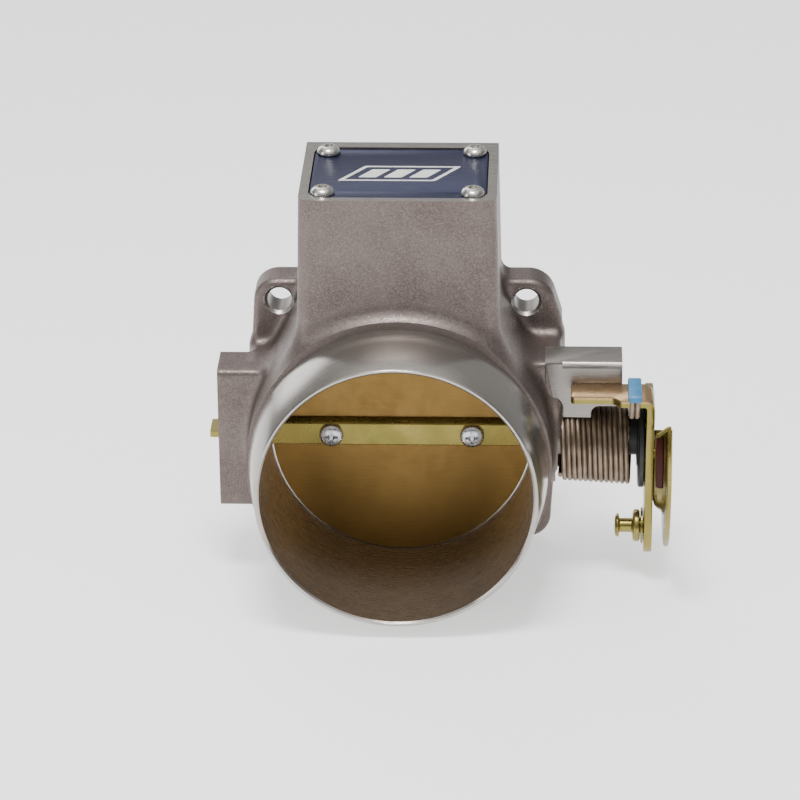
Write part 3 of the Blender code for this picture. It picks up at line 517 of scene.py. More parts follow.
CAST_FACE, TURNED_AND_LIT_TOP_FACE, BORED_FACE, MILLED_FACE = range(4)     # the housing's material slots
HOUSING_FINISHES = (
    cast_finish(),
    # Lighter turned finish: for the turned neck, and as a painted highlight for the tower's flat
    # top.
    machined_finish("turned_and_lit_top_aluminium", (0.02, 1.0, 0.02), 0.12,
                    ((0.33, 0.31, 0.285), (0.4, 0.375, 0.35)), (0.17, 0.25), 0.01),
    machined_finish("bored_aluminium", (0.03, 1.0, 0.03), 0.2,
                    ((0.4, 0.345, 0.3), (0.47, 0.41, 0.36)), (0.24, 0.32), 0.012),
    machined_finish("milled_aluminium", (0.08, 1.0, 0.9), 0.35,
                    ((0.24, 0.222, 0.205), (0.3, 0.278, 0.26)), (0.3, 0.42), 0.008),
)
ALL_FINISHES = (
    chromate_finish(), gold_finish(), blue_finish(),
    plain_metal("stainless", (0.55, 0.53, 0.5), (0.68, 0.66, 0.62), (0.2, 0.32)),
    plain_metal("bright_zinc_steel", (0.5, 0.52, 0.55), (0.62, 0.64, 0.66), (0.22, 0.34)),
    plain_metal("bronze", (0.36, 0.21, 0.1), (0.45, 0.28, 0.14), (0.34, 0.45)),
    plain_metal("spring_steel", (0.22, 0.165, 0.12), (0.33, 0.26, 0.2), (0.36, 0.5), 0.85, 0.3),
    plastic("gasket_fibre", (0.05, 0.05, 0.048), (0.08, 0.08, 0.075), (0.8, 0.95), 0.3, 0.1),
    plastic("seal_rubber", (0.012, 0.012, 0.012), (0.02, 0.02, 0.02), (0.55, 0.7)),
    plastic("black_nylon", (0.006, 0.006, 0.006), (0.012, 0.012, 0.012), (0.4, 0.55)),
    plastic("blue_sleeve", (0.03, 0.16, 0.32), (0.04, 0.2, 0.38), (0.38, 0.5)),
    # Dark red glossy sheet: painted reddish reflection for the upper part of the cam's groove.
    plastic("red_nylon", (0.03, 0.0015, 0.0006), (0.05, 0.003, 0.001), (0.36, 0.46), specular=0.2),
    plastic("printed_mark", (0.6, 0.6, 0.58), (0.7, 0.7, 0.68), (0.45, 0.6)),
)
FINISHES = {material.name.split(".")[0]: material for material in ALL_FINISHES}


# ---- the casting, as a distance field ----
def join(a, b, radius):
    """Union of two distance fields with a fillet."""
    return np.maximum(radius, np.minimum(a, b)) - np.hypot(
        np.maximum(radius - a, 0), np.maximum(radius - b, 0)
    )


def meet(a, b, radius):
    """Intersection of two distance fields with a rounded edge."""
    return np.minimum(-radius, np.maximum(a, b)) + np.hypot(
        np.maximum(radius + a, 0), np.maximum(radius + b, 0)
    )


def brick(x, y, z, low, high, radius):
    """Box with rounded edges."""
    total, deepest = 0.0, -1e9
    for value, start, end in ((x, low[0], high[0]), (y, low[1], high[1]), (z, low[2], high[2])):
        out = np.abs(value - (start + end) / 2) - ((end - start) / 2 - radius)
        total = total + np.maximum(out, 0) ** 2
        deepest = np.maximum(deepest, out)
    return np.sqrt(total) + np.minimum(deepest, 0) - radius


def polygon(u, v, points):
    """Distance to a closed outline, negative inside."""
    nearest, sign = 1e9, 1.0
    for (au, av), (bu, bv) in zip(points, points[1:] + points[:1]):
        eu, ev, wu, wv = bu - au, bv - av, u - au, v - av
        t = np.clip((wu * eu + wv * ev) / (eu * eu + ev * ev), 0, 1)
        nearest = np.minimum(nearest, (wu - eu * t) ** 2 + (wv - ev * t) ** 2)
        above, below, left = v >= av, v < bv, eu * wv > ev * wu
        sign = np.where((above & below & left) | ~(above | below | left), -sign, sign)
    return sign * np.sqrt(nearest)


def flange_outline():
    outline = [(-EAR_SIDE_X, EAR_SIDE_Z)] + arc((-EAR_X, EAR_Z), EAR_RADIUS, 176, 90, 10)
    outline += arc((BOLT_X + 0.5, EAR_Z - 0.7), EAR_WIDE_RADIUS, 90, 22, 10)
    outline += [(EAR_WIDE_X, EAR_WIDE_TOP), (EAR_WIDE_X, LUG_WEB_UNDER), (EAR_SIDE_X, -EAR_SIDE_Z)]
    outline += arc((EAR_X, -EAR_Z), EAR_RADIUS, -4, -90, 10)
    outline += arc((-EAR_X, -EAR_Z), EAR_RADIUS, -90, -176, 10) + [(-EAR_SIDE_X, -EAR_SIDE_Z)]
    return outline


OUTLINE = flange_outline()


def casting(x, y, z):
    """Distance field of the casting before it is machined, in millimetres."""
    radius = np.hypot(x, z)
    barrel = np.maximum(radius - BARREL_RADIUS, NECK_END_Y - STOCK - y)
    slope = (TOWER_FOOT_HALF_WIDTH - TOWER_HALF_WIDTH) / (TOWER_TOP - TOWER_FOOT_Z)
    side = np.abs(x) - (TOWER_HALF_WIDTH + slope * (TOWER_TOP - z))
    front = TOWER_FRONT_Y - y
    tower = np.maximum(meet(side, front, TOWER_CORNER), TOWER_ROOT_Z - z)
    share = np.clip((side - front + 4) / 12, 0, 1)      # 0 at the tower's front, 1 at its sides
    fillet = TOWER_FRONT_FILLET + (TOWER_SIDE_FILLET - TOWER_FRONT_FILLET) * share
    body = join(barrel, tower, fillet)
    flange = meet(polygon(x, z, OUTLINE), -FLANGE_THICK - y, 2.2)
    body = join(body, flange, 3.0)
    draft = 0.02 * np.abs(z)
    pad = brick(
        x - draft, y, z, (PAD_X - 2, SHAFT_Y - PAD_HALF_Y, -PAD_HALF_Z),
        (-30, SHAFT_Y + PAD_HALF_Y, PAD_HALF_Z), 1.8,
    )
    shelf = brick(
        x, y, z, (-EAR_SIDE_X + 0.4, SHAFT_Y, -PAD_HALF_Z + 0.2), (-20, -4, PAD_HALF_Z - 0.2), 1.5
    )
    body = join(body, join(pad, shelf, 1.5), 3.2)
    along = np.hypot(y - SHAFT_Y, z) - HUB_RADIUS
    hub = meet(meet(along, x - HUB_FACE_X - 1, 1.0), 25 - x, 1.0)
    body = join(body, hub, 3.0)
    root = brick(
        x, y, z, (20, SHAFT_Y + LUG_FRONT + 0.4, -3), (EAR_WIDE_X - 0.2, -4, LUG_TOP - 0.1), 1.6
    )
    body = join(body, root, 3.6)
    return np.maximum(np.maximum(body, y - STOCK), z - TOWER_TOP - STOCK)


def end_of_grid(*choices):
    """Index of a grid without its last (0) or its first (1) layer, along each axis chosen."""
    index = [slice(None)] * 3
    for axis, end in choices:
        index[axis] = slice(1, None) if end else slice(None, -1)
    return tuple(index)


def net_points(value):
    """Sum and number of the surface's crossings in each cell, and the crossed grid edges."""
    inside = value < 0
    cells = [n - 1 for n in value.shape]
    total, count = np.zeros((*cells, 3)), np.zeros(cells)
    crossings = []
    for axis in range(3):
        u, v = [k for k in range(3) if k != axis]
        first, last = end_of_grid((axis, 0)), end_of_grid((axis, 1))
        a, b = value[first], value[last]
        crossed = inside[first] != inside[last]
        share = np.where(crossed, a / np.where(a == b, 1, a - b), 0)
        crossings.append((crossed, inside[first]))
        for du, dv in ((0, 0), (0, 1), (1, 0), (1, 1)):
            pick = end_of_grid((u, du), (v, dv))
            hit = crossed[pick]
            count += hit
            total[..., axis] += share[pick]
            total[..., u] += hit * du
            total[..., v] += hit * dv
    return total, count, crossings


def net_faces(number, crossings):
    """One quad round each crossed edge, facing out."""
    faces = []
    for axis, (crossed, starts_inside) in enumerate(crossings):
        u, v = (axis + 1) % 3, (axis + 2) % 3
        where = np.argwhere(crossed)
        keep = [(where[:, k] > 0) & (where[:, k] < number.shape[k]) for k in (u, v)]
        where = where[np.all(keep, axis=0)]
        flip = starts_inside[tuple(where.T)]
        ring = []
        for du, dv in ((1, 1), (0, 1), (0, 0), (1, 0)):
            near = where.copy()
            near[:, u] -= du
            near[:, v] -= dv
            ring.append(number[tuple(near.T)])
        quads = np.stack(ring, axis=1)
        quads[~flip] = quads[~flip][:, ::-1]
        faces.append(quads)
    return np.concatenate(faces)


def settle(points, field, step):
    """Pulls points onto the surface along the field's slope."""
    probe = 0.05
    for _ in range(3):
        distance = field(*points.T)
        slope = np.stack([
            (field(*(points + shift).T) - field(*(points - shift).T)) / (2 * probe)
            for shift in np.eye(3) * probe
        ], axis=1)
        length = np.maximum((slope ** 2).sum(1), 0.1)
        points = points - slope * np.clip(distance / length, -step, step)[:, None] * 0.8
    return points


def surface(name, field, low, high, step):
    """Meshes a distance field: one point per crossed cell, then pulled onto the surface."""
    axes = [np.arange(start, end + step, step) for start, end in zip(low, high)]
    value = np.array(np.broadcast_to(
        field(*np.meshgrid(*axes, indexing="ij", sparse=True)), [len(a) for a in axes]
    ))
    total, count, crossings = net_points(value)
    used = count > 0
    number = np.full(used.shape, -1)
    number[used] = np.arange(used.sum())
    points = np.array(low) + (np.argwhere(used) + total[used] / count[used][:, None]) * step
    points = settle(points, field, step)
    faces = net_faces(number, crossings)
    mesh = bpy.data.meshes.new(name)
    mesh.vertices.add(len(points))
    mesh.vertices.foreach_set("co", (points * MM).ravel())
    mesh.loops.add(faces.size)
    mesh.loops.foreach_set("vertex_index", faces.ravel())
    mesh.polygons.add(len(faces))
    mesh.polygons.foreach_set("loop_start", np.arange(0, faces.size, 4))
    mesh.update(calc_edges=True)
    mesh.validate()
    return add_object(name, mesh)


# ---- housing ----
def neck():
    """Machined inlet neck, tapered, with a small chamfer round the outside of its rim."""
    profile = [(0, NECK_END_Y + 8), (NECK_RADIUS, NECK_END_Y + 8), (NECK_RADIUS, NECK_END_Y - 1.0)]
    profile += [(RIM_RADIUS + 0.15, MOUTH_Y + 0.6), (RIM_RADIUS - 0.35, MOUTH_Y), (0, MOUTH_Y)]
    return lathe("neck", profile, "Y", steps=240)


def lug():
    """Milled stop lug, with its web under it and a double chamfer along its top front edge."""
    front = [(HUB_FACE_X - 4, 4.0), (HUB_FACE_X, 4.0), (HUB_FACE_X, LUG_WEB_UNDER)]
    front += [(LUG_WEB_X, LUG_WEB_UNDER)]
    front += arc((LUG_WEB_X + 2.4, LUG_UNDER - 2.4), 2.4, 180, 90, 8)
    front += [(LUG_END_X, LUG_UNDER), (LUG_END_X, LUG_TOP), (HUB_FACE_X - 4, LUG_TOP)]
    item = extruded("lug", [front], SHAFT_Y + LUG_FRONT, SHAFT_Y + LUG_BACK, "Y", edge=0.35)
    face, top = LUG_FRONT, LUG_TOP
    corner = [(face - 1, top - 1.8), (face, top - 1.8), (face + 0.06, top - 1.5)]
    corner += [(face + 0.85, top - 0.25), (face + 1.15, top), (face + 1.15, top + 1)]
    corner += [(face - 1, top + 1)]
    chamfer = extruded("lug_chamfer", [corner], HUB_FACE_X + 1.2, LUG_END_X + 2, "X", SHAFT_AT)
    return combine(item, [chamfer])


def spigot():
    profile = [(0, SPIGOT_END_X), (SPIGOT_RADIUS, SPIGOT_END_X), (SPIGOT_RADIUS, 40), (0, 40)]
    return lathe("spigot", profile, "X", SHAFT_AT, 64)


def bore_cutters():
    """The air bore, with its chamfered mouth, and the shaft's bore with its two seats."""
    wide, mouth = MOUTH_RADIUS + 0.6, MOUTH_Y
    bore = [(0, 10), (BORE_RADIUS, 10), (BORE_RADIUS, mouth + 12), (MOUTH_RADIUS, mouth + 0.5)]
    bore += [(wide, mouth - 0.1), (wide, mouth - 4), (0, mouth - 4)]
    seat, clearance = BEARING_OUTER + GAP, SHAFT_RADIUS + GAP
    right, left = box_mm("shaft_seal_right")[0].x - GAP, box_mm("shaft_seal_left")[1].x + GAP
    shaft = [(0, SPIGOT_END_X + 2), (seat, SPIGOT_END_X + 2), (seat, right), (clearance, right)]
    shaft += [(clearance, left), (seat, left), (seat, PAD_X - 4), (0, PAD_X - 4)]
    return [
        lathe("bore_cutter", bore, "Y", steps=240),
        lathe("shaft_cutter", shaft, "X", SHAFT_AT, 64),
    ]


def tower_cutters():
    """The cover's recess, the chamber under it with its four screw posts, and its two ports."""
    ledge = GASKET_LOW.z - GAP
    half_x, half_y = COVER_HIGH.x + GAP, (COVER_HIGH.y - COVER_LOW.y) / 2 + GAP
    recess = rounded_rectangle(half_x, half_y, COVER_CORNER + GAP, 10, (0, COVER_MIDDLE.y))
    screw = middle_of("cover_screw_4")
    reach_x, reach_y, post = abs(screw.x) - 0.4, abs(screw.y - COVER_MIDDLE.y) - 0.4, 4.6
    room = []
    for sx, sy in ((1, 1), (-1, 1), (-1, -1), (1, -1)):
        corner = [(sx * reach_x, sy * (reach_y - post)), (sx * (reach_x - post), sy * reach_y)]
        middle = (sx * (reach_x - post + 0.6), sy * (reach_y - post + 0.6))
        points = [corner[0], middle, corner[1]] if sx * sy > 0 else [corner[1], middle, corner[0]]
        room += [(u, v + COVER_MIDDLE.y) for u, v in points]
    port = rounded_rectangle(10.0, 4.0, 3.5, 8, (0, TOWER_FRONT_Y + 12))
    outlet = rounded_rectangle(12.0, 6.0, 4.0, 8, (0, CHAMBER_FLOOR_Z + 9))
    outlet_start = COVER_MIDDLE.y + reach_y - 6
    return [
        extruded("recess_cutter", [recess], ledge, TOWER_TOP + 3, "Z"),
        extruded("room_cutter", [soften(room, 2.0, True)], CHAMBER_FLOOR_Z, TOWER_TOP, "Z"),
        extruded("port_cutter", [port], 34, CHAMBER_FLOOR_Z + 3, "Z"),
        extruded("outlet_cutter", [outlet], outlet_start, 3, "Y"),
    ]


def hole_cutters():
    """Bolt holes with their spot faces, and the holes for cover, sensor and idle screws."""
    cuts = []
    hole, chamfer, front = BOLT_HOLE_RADIUS, BOLT_HOLE_RADIUS + 0.9, -FLANGE_THICK
    for side_x in (-1, 1):
        for side_z, reach in ((-1, front - 6), (1, -30)):
            profile = [(0, 3), (hole, 3), (hole, front + 0.9), (chamfer, front)]
            profile += [(chamfer, front - 0.6), (chamfer, reach), (0, reach)]
            at = (side_x * BOLT_X, 0, side_z * BOLT_Z)
            cuts.append(lathe("bolt_cutter", profile, "Y", at, 48))
    cover_hole = [(0, TOWER_TOP), (2, TOWER_TOP), (2, 71), (0, 71)]
    for index in (1, 2, 3, 4):
        at = middle_of("cover_screw_{}".format(index))
        cuts.append(lathe("screw_cutter", cover_hole, "Z", (at.x, at.y, 0), 24))
    pad_hole = [(0, PAD_X + 11), (1.7, PAD_X + 11), (1.7, PAD_X + 0.4), (2.1, PAD_X)]
    pad_hole += [(2.1, PAD_X - 4), (0, PAD_X - 4)]
    for side in (-1, 1):
        at = (0, SHAFT_Y, side * PAD_SCREW_Z)
        cuts.append(lathe("pad_cutter", pad_hole, "X", at, 24))
    stop = middle_of("idle_stop_screw")
    back, front = SHAFT_Y + LUG_BACK + 2, SHAFT_Y + LUG_FRONT - 2
    stop_hole = [(0, back), (2.5, back), (2.5, front), (0, front)]
    cuts.append(lathe("stop_cutter", stop_hole, "Y", (stop.x, 0, stop.z), 24))
    return cuts


def spring_room():
    """The space for the hanging coils, in front of the hub's face and under the lug."""
    sag_y, sag_z = (SAG_START[0] + SAG_END[0]) / 2, (SAG_START[1] + SAG_END[1]) / 2
    profile = [(0, LUG_END_X + 2), (SPRING_ROOM_RADIUS, LUG_END_X + 2)]
    profile += [(SPRING_ROOM_RADIUS, HUB_FACE_X - 0.6), (0, HUB_FACE_X - 0.6)]
    return lathe("spring_room", profile, "X", (0, SHAFT_Y + sag_y, sag_z), 96)


def housing():
    low = (PAD_X - 3.3, NECK_END_Y - 3.3, HOUSING_LOW.z - 2.3)
    high = (EAR_WIDE_X + 3.1, 3.1, TOWER_TOP + 3.1)
    body = surface("throttle_housing", casting, low, high, 0.8)
    facing = [block("facing", low, high) for low, high in (
        ((-80, 0, -80), (80, 9, 110)),  # back of the flange
        ((-80, -80, -80), (80, NECK_END_Y, 110)),  # foot of the neck
        ((-80, -90, TOWER_TOP), (80, 9, 110)),  # top of the tower
        ((-80, -90, -80), (PAD_X, 9, 110)),  # sensor pad
        ((HUB_FACE_X, SHAFT_Y - 30, -40), (80, SHAFT_Y + 4, 4.0)),  # hub
    )]
    combine(body, facing, solver="MANIFOLD")
    combine(body, [neck(), lug()], "UNION", "MANIFOLD")
    combine(body, [spring_room()], solver="MANIFOLD")
    combine(body, [spigot()], "UNION", "MANIFOLD")
    combine(body, bore_cutters() + tower_cutters() + hole_cutters(), solver="MANIFOLD")
    sort_faces(body)
    place(body, "housing", "cast_aluminium", *HOUSING_FINISHES)


def sort_faces(body):
    """Gives each face of the housing its finish, from where the face is and how it is turned."""
    count = len(body.data.polygons)
    at, normal = np.zeros(count * 3), np.zeros(count * 3)
    body.data.polygons.foreach_get("center", at)
    body.data.polygons.foreach_get("normal", normal)
    at, normal = at.reshape(-1, 3) / MM, normal.reshape(-1, 3)
    x, y, z = at.T
    near = 0.02
    radius, from_shaft = np.hypot(x, z), np.hypot(y - SHAFT_Y, z)
    straight = np.abs(normal).max(1) > 0.999
    in_lug = (x > EAR_WIDE_X - 0.3) & (z > 4) & (y < SHAFT_Y + LUG_BACK + 0.3) & (from_shaft > 8)
    faced = (np.abs(y) < near) | (np.abs(x - PAD_X) < near)
    faced |= (np.abs(x - HUB_FACE_X) < 0.7) & (z < 10) & straight
    on_shaft = (from_shaft < SPIGOT_RADIUS + 0.1) & (np.abs(x) > BORE_RADIUS + 1)
    bolt = np.hypot(np.abs(x) - BOLT_X, np.abs(z) - BOLT_Z) < BOLT_HOLE_RADIUS + 1.0
    bolt &= y > -FLANGE_THICK - near
    neck_side = (y < NECK_END_Y - 0.01) & (radius > MOUTH_RADIUS - 0.2)
    bored = (radius > BORE_RADIUS - 0.3) & (radius < MOUTH_RADIUS + 0.1)
    bored &= (normal[:, 0] * x + normal[:, 2] * z < 0) & (z < BORE_RADIUS + 0.2)
    bored &= (y > MOUTH_Y + 0.4) & (y < 1)
    finish = np.full(count, CAST_FACE)
    finish[faced | in_lug | on_shaft | bolt] = MILLED_FACE
    # The tower's flat top takes the lighter turned finish as a painted highlight for the light its
    # rim catches.
    finish[neck_side | (np.abs(z - TOWER_TOP) < near)] = TURNED_AND_LIT_TOP_FACE
    finish[bored] = BORED_FACE
    body.data.polygons.foreach_set("material_index", finish)


# ---- cover ----
def cover():
    half_x, half_y = COVER_HIGH.x, (COVER_HIGH.y - COVER_LOW.y) / 2
    at = (0, COVER_MIDDLE.y)
    outline = rounded_rectangle(half_x, half_y, COVER_CORNER, 10, at)
    places = [middle_of("cover_screw_{}".format(index)) for index in (1, 2, 3, 4)]
    holes = [circle((p.x, p.y), 2.3, 32) for p in places]
    plate = extruded("tower_cover", [outline] + holes, COVER_LOW.z, COVER_HIGH.z, "Z", edge=0.2)
    place(plate, "cover_plate", "blue_anodised")
    for index, at in enumerate(places, 1):
        button_screw(index, at)
    mark()


def button_screw(index, at):
    """Button-head screw with a hexagon socket."""
    node = "cover_screw_{}".format(index)
    low, high = box_mm(node)
    seat = high.z - 2.1
    head = (high.x - low.x) / 2
    profile = [(0, high.z), (1.9, high.z)]
    profile += [(r, seat + 0.3 + (high.z - seat - 0.3) * s) for r, s in
                ((2.35, 0.93), (2.75, 0.78), (3.1, 0.58), (3.37, 0.32), (head, 0.05))]
    profile += [(head, seat), (1.7, seat), (1.7, low.z + 0.6), (1.1, low.z), (0, low.z)]
    screw = lathe("tower_screw_{}".format(index), profile, "Z", (at.x, at.y, 0), 48)
    socket = [(0, high.z - 1.5), (1.1, high.z - 1.2), (1.45, high.z - 1.1), (1.45, high.z + 1)]
    tool = lathe("socket", socket + [(0, high.z + 1)], "Z", (at.x, at.y, 0), 6)
    combine(screw, [tool])
    place(screw, node, "stainless")


def mark():
    """Plain printed mark on the cover: a slanted frame with three slanted bars in it."""
    top, lean = COVER_HIGH.z, 0.62
    half_x, half_y = 14.5, 6.2
    at = COVER_MIDDLE.y

    def slanted(wide, tall, shift=0.0):
        return [(sx * wide + shift + sy * tall * lean, at + sy * tall)
                for sx, sy in ((-1, -1), (1, -1), (1, 1), (-1, 1))]

    ring = [soften(slanted(half_x, half_y), 0.8, True)]
    ring.append(soften(slanted(half_x - 1.4, half_y - 0.9), 0.6, True))
    frame_mark = extruded("cover_mark_frame", ring, top - 0.02, top + 0.04, "Z")
    place(frame_mark, "cover_plate", "blue_anodised", FINISHES["printed_mark"], hides=False)
    for index, shift in enumerate((-7.6, 0.0, 7.6), 1):
        bar = extruded("cover_mark_bar_{}".format(index),
                       [soften(slanted(2.7, 3.3, shift), 0.5, True)], top - 0.02, top + 0.04, "Z")
        place(bar, "cover_plate", "blue_anodised", FINISHES["printed_mark"], hides=False)


# ---- shaft and plate ----
def shaft():
    low, high = box_mm("throttle_shaft")
    profile = [(0, high.x - 0.8), (1.2, high.x - 0.5), (1.7, high.x - 0.1), (2.1, high.x)]
    profile += [(STUB_RADIUS - 0.3, high.x), (STUB_RADIUS, high.x - 0.3)]
    profile += [(STUB_RADIUS, SHAFT_SHOULDER_X)]
    profile += [(SHAFT_RADIUS, SHAFT_SHOULDER_X), (SHAFT_RADIUS, low.x + 0.4)]
    profile += [(SHAFT_RADIUS - 0.4, low.x), (0, low.x)]
    item = lathe("shaft", profile, "X", SHAFT_AT, 96)
    flat = BORE_RADIUS + 1
    half = PLATE_THICK / 2 + 0.1
    tools = [
        tilted(block("flat", (-flat, -9, -9), (flat, -FLAT_DEPTH, 9))),
        tilted(block("slot", (-flat + 0.8, -half, -9), (flat - 0.8, half, 9))),
    ]
    for side in (-1, 1):
        bottom, top = sorted((side * TANG_HALF_THICK, side * 9.0))
        tools.append(block("tang", (low.x - 2, SHAFT_Y - 9, bottom), (PAD_X + 1, SHAFT_Y + 9, top)))
    combine(item, tools)
    place(item, "throttle_shaft", "yellow_zinc_steel")


def plate():
    half = PLATE_THICK / 2
    edge = PLATE_RADIUS - 0.15
    profile = [(0, half), (edge, half), (PLATE_RADIUS, half - 0.15), (PLATE_RADIUS, 0.15 - half)]
    profile += [(edge, -half), (0, -half)]
    item = lathe("butterfly_plate", profile, "Y", steps=192)
    lean = math.tan(math.radians(PLATE_TILT))
    for vertex in item.data.vertices:
        vertex.co.y += vertex.co.z * lean
    place(tilted(item), "throttle_plate", "gold_plate")


def plate_screw(word):
    """Cross-recess pan-head screw, with a shallow dimple round the cross."""
    node = "plate_screw_" + word
    at_x = middle_of(node).x
    head, height, seat = 3.7, 2.2, -FLAT_DEPTH - 0.05
    top = seat - height
    profile = [(0, 3.9), (1.5, 3.9), (1.9, 3.5), (1.9, seat), (head, seat), (head, seat - 0.9)]
    profile += [(head - 0.12, seat - 1.3), (head - 0.45, seat - 1.65), (head - 1.1, seat - 1.95)]
    profile += [(head - 1.9, top + 0.03), (0, top)]
    screw = lathe("plate_fixing_" + word, profile, "Y", (at_x, 0, 0), 48)
    tools = []
    for wide, tall in ((2.1, 0.48), (0.48, 2.1)):
        outline = soften([(at_x - wide, -tall), (at_x + wide, -tall),
                          (at_x + wide, tall), (at_x - wide, tall)], 0.35, True)
        tools.append(extruded("cross", [outline], top - 1, top + 1.3, "Y"))
    tools.append(lathe("dimple", [(0, top + 1.5), (1.15, top + 0.1), (1.3, top - 1), (0, top - 1)],
                       "Y", (at_x, 0, 0), 24))
    combine(screw, tools)
    place(tilted(screw), node, "bright_zinc_steel")


# ---- lever ----
def lever():
    """Steel strip, cut flat and then bent over at the top into the arm."""
    bend_x, bend_z = LEVER_HIGH.x - LEVER_BEND, ARM_TOP - LEVER_BEND
    middle = LEVER_BEND - LEVER_THICK / 2
    quarter = middle * math.pi / 2

    def flat(x):
        """Height in the flat strip of a place on the arm."""
        return bend_z + quarter + bend_x - x

    front = [(TOP_FRONT, flat(66.7)), (ARM_FRONT, flat(64.5)), (ARM_FRONT, flat(ARM_X + 0.6))]
    front += [(ARM_FRONT + 0.7, flat(ARM_X)), (ARM_BACK - 1.5, flat(ARM_X))]
    front += [(ARM_BACK, flat(ARM_X + 1.5))]
    outline = [(TOP_FRONT, 14.5), (TOP_FRONT + 1.0, 11.0), (-16.5, 2.0)]
    outline += arc((STUD_Y, STUD_Z), TIP_RADIUS, 183, 350, 24) + [(5.0, -19.0)]
    outline += arc((0, 0), 15.0, -45, 75, 20) + [(-5.0, bend_z - 1), (ARM_BACK, bend_z)]
    outline += front[::-1]
    holes = [circle((0, 0), STUB_RADIUS + 0.2, 32), circle((STUD_Y, STUD_Z), 2.5, 24)]
    strip = extruded("lever_strip", [soften(outline, 0.8, True, 2)] + holes,
                     LEVER_X, LEVER_HIGH.x, "X", SHAFT_AT, edge=0.22)
    shape = bmesh.new()
    shape.from_mesh(strip.data)
    for step in range(13):
        height = bend_z + quarter * step / 12
        bmesh.ops.bisect_plane(
            shape, geom=shape.verts[:] + shape.edges[:] + shape.faces[:], dist=1e-7,
            plane_co=Vector((0, 0, height)) * MM, plane_no=(0, 0, 1),
        )
    for vertex in shape.verts:
        x, y, z = vertex.co / MM
        if z <= bend_z:
            continue
        out, turn = x - bend_x, min((z - bend_z) / middle, math.pi / 2)
        past = max(z - bend_z - quarter, 0)
        vertex.co = Vector((bend_x + out * math.cos(turn) - past, y,
                            bend_z + out * math.sin(turn))) * MM
    shape.to_mesh(strip.data)
    shape.free()
    place(strip, "throttle_lever", "yellow_zinc_steel")


def stud():
    """Shouldered cable stud with a domed head, and the washer behind it."""
    at = (0, SHAFT_Y + STUD_Y, STUD_Z)
    collar, end, shank = LEVER_X - 1.2, STUD_HIGH.x, 2.2
    head = STUD_LOW.x
    profile = [(0, end), (2.3, end), (2.4, end - 0.2), (2.4, collar), (4.4, collar)]
    profile += [(4.9, collar - 0.3), (5.0, collar - 0.8), (5.0, collar - 1.4), (4.75, collar - 1.9)]
    profile += [(4.2, collar - 2.2), (shank + 0.3, collar - 2.3), (shank, collar - 2.6)]
    profile += [(shank, head + 1.7), (shank + 0.2, head + 1.45), (3.45, head + 1.4)]
    profile += [(3.7, head + 1.1), (3.6, head + 0.7), (3.1, head + 0.3), (2.0, head + 0.07)]
    place(lathe("lever_stud", profile + [(0, head)], "X", at, 64), "cable_stud",
          "yellow_zinc_steel")
    low, high = box_mm("stud_washer")
    ring = [(5.6, high.x), (5.6, low.x), (2.7, low.x), (2.7, high.x)]
    washer = lathe("lever_stud_washer", soften(ring, 0.15, True), "X", at, 64, closed=True)
    place(washer, "stud_washer", "yellow_zinc_steel")


def cam():
    """Pressed cable cam: a shallow drum, a flared rim, and a tab folded in at its upper end."""
    floor, rim, drum = CAM_LOW.x, CAM_HIGH.x - CAM_SHEET, CAM_DRUM
    outer = [(drum - 4.2, floor), (drum - 2.9, floor + 0.35), (drum - 2.0, floor + 1.2)]
    outer += [(drum - 1.4, floor + 2.2), (drum - 0.7, rim - 0.7), (drum + 0.3, rim - 0.15)]
    outer += [(drum + 1.6, rim)]
    profile = [(CAM_RIM - 0.3, CAM_HIGH.x), (CAM_RIM, CAM_HIGH.x - 0.3), (CAM_RIM, rim + 0.3)]
    profile += [(CAM_RIM - 0.3, rim)] + outer[::-1] + [(STUB_RADIUS + 0.3, floor)]
    profile += [(STUB_RADIUS + 0.3, floor + CAM_SHEET)]
    profile += [(r - CAM_SHEET * 0.8, x + CAM_SHEET * 0.9) for r, x in outer[:5]]
    profile += [(drum - 0.6, CAM_HIGH.x - 0.25), (drum + 0.6, CAM_HIGH.x)]
    item = lathe("cam", profile, "X", SHAFT_AT, 180, closed=True)
    keep = arc((0, 0), 60, CAM_START, CAM_END, 16) + [(10, -12), (7, -6), (-5, -1), (-8, 4.2)]
    keep = soften(keep, 1.5, True)
    combine(item, [extruded("cam_keep", [keep], 70, 90, "X", SHAFT_AT)], "INTERSECT")
    fold = [(floor + 0.1, 2.3), (floor + 0.1, 1.1), (floor + 0.8, 0.7), (CAM_HIGH.x - 1.2, -1.3)]
    fold += [(CAM_HIGH.x - 0.3, -1.2), (CAM_HIGH.x - 0.3, 0.1), (CAM_HIGH.x - 1.2, 0.1)]
    tab = extruded("cam_tab", [soften(fold, 0.3, True)], drum - 1.0, CAM_RIM - 0.4, "Y", edge=0.1)
    turn = Matrix.Rotation(math.radians(CAM_START), 4, "X")
    tab.data.transform(Matrix.Translation(Vector(SHAFT_AT) * MM) @ turn)
    combine(item, [tab], "UNION")
    place(item, "cable_cam", "yellow_zinc_steel")
    # Painted reflection: a thin dark red strip in the upper part of the groove stands in for the
    # reddish reflection lying in the groove's shade.
    low, high = box_mm("cable_liner")
    strip = [(drum - 0.3, low.x - 0.1), (drum + 0.9, low.x), (drum + 1.5, low.x + 0.8)]
    strip += [(drum + 1.6, high.x - 0.4), (drum + 1.3, high.x), (drum - 0.3, high.x)]
    liner = lathe("groove_red_reflection", strip, "X", SHAFT_AT, 180, closed=True)
    sector = [(0, 0)] + arc((0, 0), 60, CAM_START + 5, CAM_START + 40, 12)
    combine(liner, [extruded("red_reflection_keep", [sector], 70, 90, "X", SHAFT_AT)], "INTERSECT")
    place(liner, "cable_liner", "red_nylon")


